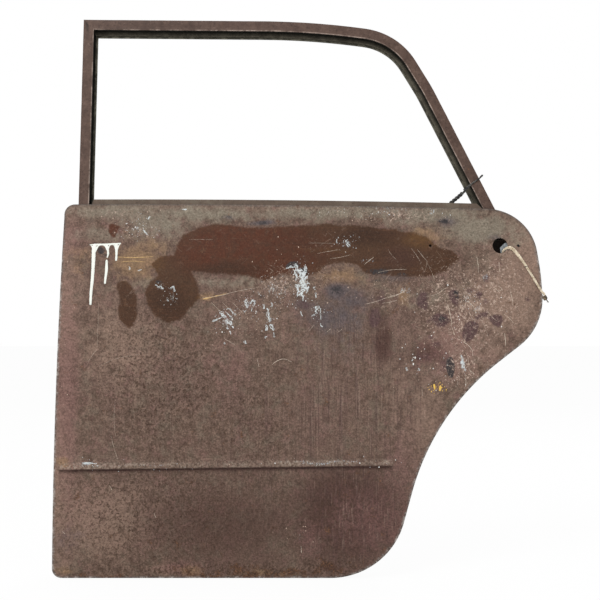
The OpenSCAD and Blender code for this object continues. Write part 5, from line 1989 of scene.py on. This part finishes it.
@dataclass
class SpiltPaint:
    """Everything thin that lies on the skin: drips, scratches, strokes and chips."""

    skin: OuterSkin
    effects: Effects
    chip_pitch: float = 8.0
    chip_inset: float = 6.0
    chip_least: float = 0.02
    recipe: Recipe = field(default_factory=paint_chips)

    def draw(self, name: str, lines: Sequence[Stroke], finish: Spill, ragged: float, strands: int = 1) -> None:
        """Makes one piece of a set of strokes.

        Args:
            name: Name of the piece.
            lines: The strokes.
            finish: Their paint.
            ragged: How much their width wanders, as a share of it.
            strands: How many ribbons each splits into.
        """
        maker = MeshMaker()
        for k, stroke in enumerate(lines):
            stroke.add_to(maker, self.skin, float(k), ragged, strands)
        settle(maker.build(name), finish.make(self.effects), "outer_paint")

    def chips(self, scatter: Scatter) -> None:
        """Scatters chips over the skin around a few spots.

        Args:
            scatter: Which chips, and where.
        """
        maker = MeshMaker()
        edge = Path(PANEL, self.chip_pitch).inset(self.chip_inset)
        low, high = edge.min(axis=0), edge.max(axis=0)
        x, z = np.arange(low[0], high[0], self.chip_pitch), np.arange(low[1], high[1], self.chip_pitch)
        gx, gz = (g.ravel() for g in np.meshgrid(x, z))
        maker.add(np.column_stack([gx, self.skin.dented(gx, gz), gz]))
        kept = inside(gx, gz, edge).reshape(len(z), len(x))
        for i in range(len(z) - 1):
            for j in range(len(x) - 1):
                if kept[i:i + 2, j:j + 2].all():
                    k = i * len(x) + j
                    maker.faces.append((k, k + 1, k + 1 + len(x), k + len(x)))
        base = maker.build(scatter.name + "_base")
        px, _, pz = places(base).T
        thick = np.zeros(len(px))
        for spot in scatter.spots:
            thick = np.maximum(thick, spot.amount(px, pz, self.skin.depth, 1, 2))
        layer = base.data.attributes.new("chips", "FLOAT", "POINT")
        layer.data.foreach_set("value", np.where(thick > self.chip_least, thick, 0).astype(np.float32))
        paint = scatter.finish.make(self.effects)
        piece = self.recipe.run(scatter.name, base, paint, Seed=scatter.seed, **scatter.sizes)
        settle(piece, paint, "outer_paint")

    def build(self) -> None:
        """Makes every piece of spilt paint."""
        self.draw("paint_drips", DRIPS, Spill("white_paint", (0.78, 0.80, 0.74), (0.55, 0.60, 0.52)), 0.10)
        self.draw("white_scuffs", WHITE_SCUFFS,
                  Spill("scuffed_white", (0.58, 0.62, 0.62), (0.34, 0.33, 0.31), 0.55), 1.7, 5)
        self.draw("scratches", SCRATCHES, Spill("scraped_paint", (0.50, 0.42, 0.34), (0.22, 0.16, 0.12), 0.6),
                  0.95, 2)
        self.draw("ochre_strokes", OCHRE_STROKES,
                  Spill("ochre_smear", (0.52, 0.34, 0.15), (0.30, 0.20, 0.11), 0.55), 0.8)
        self.draw("yellow_smear", YELLOW_STROKES, YELLOW, 0.5)
        for scatter in SCATTERS:
            self.chips(scatter)


TWINE_ROUTE = (
    (952, -31, 184.6), (950, -25.3, 186), (943, -23, 195), (938, -13, 209), (935.2, -1, 221.8), (929, -0.8, 223),
    (919, -4, 230), (905, -9.5, 243), (889, -12, 259), (875, -12.5, 270), (870.8, -12.8, 276.5), (873.5, -14.5, 281.8),
    (877.2, -18.3, 284.8), (881.5, -21.4, 285.3), (886, -21, 283.8), (892.5, -20.9, 279), (904, -23.3, 264.5),
    (915.8, -25.8, 247.8), (930.5, -29.1, 223.6), (944, -32, 200.5), (949.5, -33.4, 194), (951, -34, 189.6),
)
KNOT_ROUTE = (
    (951.1, -34.1, 189.2), (951.3, -34.3, 188.2), (951.6, -34.5, 186.4), (952, -34.7, 184.4), (953, -34.9, 183.2),
    (954.6, -35, 181.6), (956.2, -34.6, 179.6), (958.2, -34, 177.6),
)
WIRE_LOOP = (
    (-58, 4, 31.5), (-50, -1, 37.5), (-41, -2.2, 43.5), (-30, -2.2, 51.5), (-23.5, -1.6, 56.5), (-19.7, 1, 60.5),
    (-20.5, 5, 61.5), (-24, 12, 58), (-28, 21, 53), (-36, 24.6, 47), (-47, 24.8, 38), (-56, 22, 30), (-60.5, 15, 26.5),
    (-60, 9, 26),
)
WIRE_COIL = (
    (-61, 7, 24), (-55, 0.5, 30), (-47.5, -2, 37), (-43, 2, 41), (-42.5, 12, 41.5), (-46, 22, 38), (-55, 25, 30.5),
    (-62.5, 19, 23.5), (-64, 12, 21.5),
)
WIRE_TWIST = ((-59.5, 8, 26), (-66, 9, 20), (-74, 10.5, 13.5), (-82, 12, 7), (-87, 14, 2.5))

KNOT_AT = (951.6, -34.3, 186.2)
BINDING_AT = (915.6, -25.8, 248)


@dataclass(frozen=True)
class Fray:
    """Loose fibres: where they start and go, their longest length, their number and how far they stray."""

    at: Sequence[float]
    aim: Sequence[float]
    length: float
    count: int
    spread: float
    thick: float = 0.16

    def add_to(self, maker: MeshMaker, dice: random.Random) -> None:
        """Adds the fibres to a mesh.

        Args:
            maker: Mesh that takes them.
            dice: Source of chance.
        """
        aim = np.array(self.aim, float)
        aim /= np.linalg.norm(aim)
        for _ in range(self.count):
            way = aim + self.spread * np.array([dice.gauss(0, 0.5) for _ in range(3)])
            bend = self.spread * np.array([dice.gauss(0, 0.6) for _ in range(3)])
            start = np.array(self.at) + np.array([dice.uniform(-0.8, 0.8) for _ in range(3)])
            reach = self.length * dice.uniform(0.4, 1.0)
            rings = []
            for t in np.linspace(0, 1, 6):
                p = start + reach * (way * t + bend * t * t)
                r = self.thick * (1 - 0.75 * t)
                rings.append([p + (r, 0, 0), p + (0, r, 0.3 * r), p + (-0.5 * r, -r, -0.5 * r)])
            maker.sweep(rings)


FRAYS = (
    Fray((951, -34.5, 184), (0.1, -0.1, 1.0), 4.5, 22, 0.6),
    Fray((930, -29.4, 223), (-0.3, -0.2, -1), 6, 14, 0.7),
    Fray((956.6, -34, 179), (-0.1, 0, -0.8), 3.0, 12, 0.4),
)


@dataclass
class Ties:
    """The twine through the handle hole, knotted at the rear edge, and the wire round the rear post."""

    effects: Effects
    window: WindowFrame
    seed: int = 4
    recipe: Recipe = field(default_factory=laid_rope)

    def tie(self, name: str, route: Array, material: Material, slot: str, *nodes: str,
            loop: bool = False, radii: Spot | None = None, turn: float | None = None) -> None:
        """Lays strands along a route.

        Args:
            name: Name of the piece.
            route: Points of the route, one row each.
            material: Its material.
            slot: The record's slot that the finish belongs to.
            nodes: Solids that the piece stands for.
            loop: Whether the route's end leads back to its start.
            radii: Radius of a strand and of the circle that they lie on, in metres, if not the tree's own.
            turn: How far they turn in each metre, if not as the tree has it.
        """
        sizes = dict(zip(("Strand Radius", "Lay Radius"), radii)) if radii else {}
        if turn is not None:
            sizes["Turn"] = turn
        settle(self.recipe.run(name, curve_object(route, loop), material, **sizes), material, slot, *nodes)

    def twine(self) -> None:
        """Makes the twine, its knot and its frays."""
        straw = Fibre("straw_twine").make(self.effects)
        dirty = Fibre("dirty_twine", (0.44, 0.34, 0.22), (0.06, 0.045, 0.035), 0.5).make(self.effects)
        self.tie("twine_loop", smoothed(TWINE_ROUTE, 8), straw, "twine", "twine")
        beside = smoothed(TWINE_ROUTE[12:18], 8)
        bow = np.sin(np.linspace(0.15, 0.95, len(beside)) * math.pi)[:, None] * (1.8, -0.2, 1.6)
        self.tie("twine_second_turn", beside + bow, straw, "twine")
        t = np.linspace(0, 2 * math.pi, 40)[:-1]
        binding = np.column_stack([2.0 * np.cos(t), 1.6 * np.sin(t), 0.9 * np.cos(t + 1)]) + BINDING_AT
        self.tie("twine_binding", binding, dirty, "twine", loop=True, radii=(0.0006, 0.0006))
        t = np.linspace(0, 2 * math.pi, 90, endpoint=False)
        knot = np.column_stack([(1.35 + 0.75 * np.cos(3 * t)) * np.cos(2 * t), 1.2 * np.sin(3 * t),
                                1.7 * (1.35 + 0.75 * np.cos(3 * t)) * np.sin(2 * t)]) + KNOT_AT
        self.tie("twine_knot_turns", knot, dirty, "twine", "twine_knot", loop=True)
        self.tie("twine_tail", smoothed(KNOT_ROUTE[3:], 6), dirty, "twine", radii=(0.00055, 0.0005))
        dice = random.Random(self.seed)
        maker = MeshMaker()
        for fray in FRAYS:
            fray.add_to(maker, dice)
        for p in smoothed(TWINE_ROUTE[13:], 7)[::3]:
            Fray(p, (dice.uniform(-1, 1), -0.6, dice.uniform(-1, 1)), 3.2, 2, 0.8).add_to(maker, dice)
        settle(maker.build("twine_frays"), straw, "twine")

    def wire(self) -> None:
        """Makes the wire, whose routes are counted from where the rear post meets the belt."""
        foot = self.window.line().points[-1][0] - self.window.tail / math.tan(self.window.slope)
        wire = Tarnish().make(self.effects)
        for name, route, nodes, radii, turn in (
            ("wire_loop", WIRE_LOOP, ("tie_wire",), (0.0008, 0.0008), 300.0),
            ("wire_coil", WIRE_COIL, (), (0.0009, 0.0010), 200.0),
            ("wire_twist", WIRE_TWIST, (), (0.0020, 0.0020), 300.0),
        ):
            p = smoothed(route, 8)
            route = self.window.world(p[:, 0] + foot, p[:, 2], p[:, 1])
            self.tie(name, route, wire, "wire", *nodes, radii=radii, turn=turn)

    def build(self) -> None:
        """Makes the twine and the wire."""
        self.twine()
        self.wire()


@dataclass
class Inside:
    """What the solids show behind the skin: rails, inner panel and plates, and their weld spots."""

    effects: Effects
    panel_y: float = 36.0
    weld_inset: float = 29.0

    def dress(self) -> None:
        """Gives each solid that stays its finish."""
        brown, rail, steel, strip, zinc = (paint.make(self.effects) for paint in (
            OldPaint("inner_paint", (0.082, 0.058, 0.047), (0.15, 0.112, 0.091), 0.24, 0.3, size=34.0, contrast=1.7,
                     low=0.2),
            OldPaint("rail_paint", (0.066, 0.047, 0.039), (0.13, 0.094, 0.076), 0.3, 0.3, size=40.0, low=0.2),
            OldPaint("bare_steel", (0.10, 0.098, 0.094), (0.26, 0.262, 0.262), 0.3, 0.2, size=14.0),
            OldPaint("belt_strip", (0.074, 0.053, 0.040), (0.130, 0.095, 0.072), 0.10, 0.5, (0.138, 0.112, 0.085),
                     34.0, 1.6),
            OldPaint("lock_plate", (0.16, 0.175, 0.19), (0.36, 0.385, 0.40), 0.12, 0.1, size=12.0),
        ))
        finishes = {
            "inner_panel": brown, "hinge_rail": rail, "bottom_rail": rail, "wheel_arch_rail": rail,
            "lock_rail": rail, "inner_belt_rail": rail, "outer_belt_rail": strip, "lock_reinforcement": zinc,
        }
        for name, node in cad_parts.items():
            if node.hide_render:
                continue
            material = finishes.get(name, steel)
            node.data.materials.clear()
            node.data.materials.append(material)
            log.info("%s keeps its solid: %s", name, material.name)

    def welds(self) -> None:
        """Sets weld spots round the inner panel."""
        steel = OldPaint("weld_spots", (0.05, 0.036, 0.03), (0.12, 0.09, 0.07), 0.5, 0.2).make(self.effects)
        line = Path(PANEL, 10.0).inset(self.weld_inset)
        ring = upright(line, np.full(len(line), self.panel_y))
        settle(spot_welds().run("panel_weld_spots", curve_object(ring, True), steel), steel, "inner_paint")


@dataclass
class Studio:
    """Camera, lamps, floor and white surroundings."""

    floor_z: float = SILL - 1.0
    half_floor: float = 14.0
    floor_shade: Colour = (0.85, 0.85, 0.85)
    white: Colour = (1.0, 1.0, 1.0)
    world_level: float = 0.72
    key_power: float = 74.0
    back_power: float = 34.0
    sensor: float = 36.0
    view_end: float = 60.0

    def camera(self) -> None:
        """Sets the camera at the photograph's place and angle."""
        data = bpy.data.cameras.new("camera")
        data.sensor_width = self.sensor
        data.lens = data.sensor_width / 2 * -SIGHT.y / (SIGHT.pixel * PICTURE / 2)
        data.clip_end = self.view_end
        camera = linked(bpy.data.objects.new("camera", data))
        camera.location = (SIGHT.x * MM, SIGHT.y * MM, SIGHT.z * MM)
        camera.rotation_euler = (math.pi / 2, 0, 0)
        bpy.context.scene.camera = camera

    @staticmethod
    def emptied(tree: Tree) -> Wiring:
        """Clears a tree and gives its wiring."""
        tree.nodes.clear()
        return Wiring(tree)

    @staticmethod
    def white_share(w: Wiring) -> Socket:
        """Tells which rays should meet a white background.

        Args:
            w: Wiring of the tree.

        Returns:
            1 for such rays and 0 for others.
        """
        path = w.add("ShaderNodeLightPath").outputs
        return w.larger(w.larger(path["Is Camera Ray"], path["Is Glossy Ray"]), path["Is Transmission Ray"])

    def world(self) -> None:
        """Makes the surroundings: soft light for the door, plain white behind it."""
        world = bpy.data.worlds.new("studio")
        world.use_nodes = True
        bpy.context.scene.world = world
        w = self.emptied(world.node_tree)
        light, white = (w.add("ShaderNodeBackground", {"Color": self.white, "Strength": level}).outputs[0]
                        for level in (self.world_level, 1.0))
        both = w.add("ShaderNodeMixShader", {0: self.white_share(w), 1: light, 2: white}).outputs[0]
        w.add("ShaderNodeOutputWorld", {"Surface": both})

    def floor(self) -> None:
        """Lays the floor, which shows white and keeps the door's shadow."""
        h, z = self.half_floor, self.floor_z * MM
        mesh = bpy.data.meshes.new("floor")
        mesh.from_pydata([(-h, -h, z), (h, -h, z), (h, h, z), (-h, h, z)], [], [(0, 1, 2, 3)])
        material = bpy.data.materials.new("floor")
        material.use_nodes = True
        w = self.emptied(material.node_tree)
        matt = w.add("ShaderNodeBsdfDiffuse", {"Color": self.floor_shade}).outputs[0]
        glow = w.add("ShaderNodeEmission", {"Color": self.white, "Strength": 1.0}).outputs[0]
        share = w.times(self.white_share(w), 0.95)
        both = w.add("ShaderNodeMixShader", {0: share, 1: matt, 2: glow}).outputs[0]
        under = w.add("ShaderNodeNewGeometry").outputs["Backfacing"]
        clear = w.add("ShaderNodeBsdfTransparent").outputs[0]
        both = w.add("ShaderNodeMixShader", {0: under, 1: both, 2: clear}).outputs[0]
        w.add("ShaderNodeOutputMaterial", {"Surface": both})
        mesh.materials.append(material)
        floor = linked(bpy.data.objects.new("floor", mesh))

    @staticmethod
    def lamp(name: str, at: tuple[float, float, float], size: float, power: float) -> None:
        """Hangs a soft lamp that faces the middle of the door.

        Args:
            name: Name of the lamp.
            at: Its place in metres.
            size: Its side in metres.
            power: Its power in watts.
        """
        data = bpy.data.lights.new(name, "AREA")
        data.size = size
        data.energy = power
        lamp = linked(bpy.data.objects.new(name, data))
        lamp.location = at
        aim = Vector((SIGHT.x * MM, 0.0, SIGHT.z * MM)) - lamp.location
        lamp.rotation_euler = aim.to_track_quat("-Z", "Y").to_euler()

    def build(self) -> None:
        """Sets up the whole studio."""
        bpy.context.scene.view_settings.view_transform = "Standard"
        self.camera()
        self.world()
        self.floor()
        self.lamp("key", (-0.6, -2.6, 2.6), 1.4, self.key_power)
        self.lamp("back", (1.4, 2.6, 2.4), 1.6, self.back_power)


def main() -> None:
    """Builds the studio and every piece of the door."""
    logging.basicConfig(level=logging.INFO, format="%(message)s")
    Studio().build()
    effects = Effects()
    skin = OuterSkin(SkinPaint().make(effects))
    skin.build()
    window = WindowFrame(FramePaint().make(effects), OldRubber().make(effects))
    window.build()
    SpiltPaint(skin, effects).build()
    Ties(effects, window).build()
    inside_parts = Inside(effects)
    inside_parts.dress()
    inside_parts.welds()


if __name__ == "__main__":
    main()
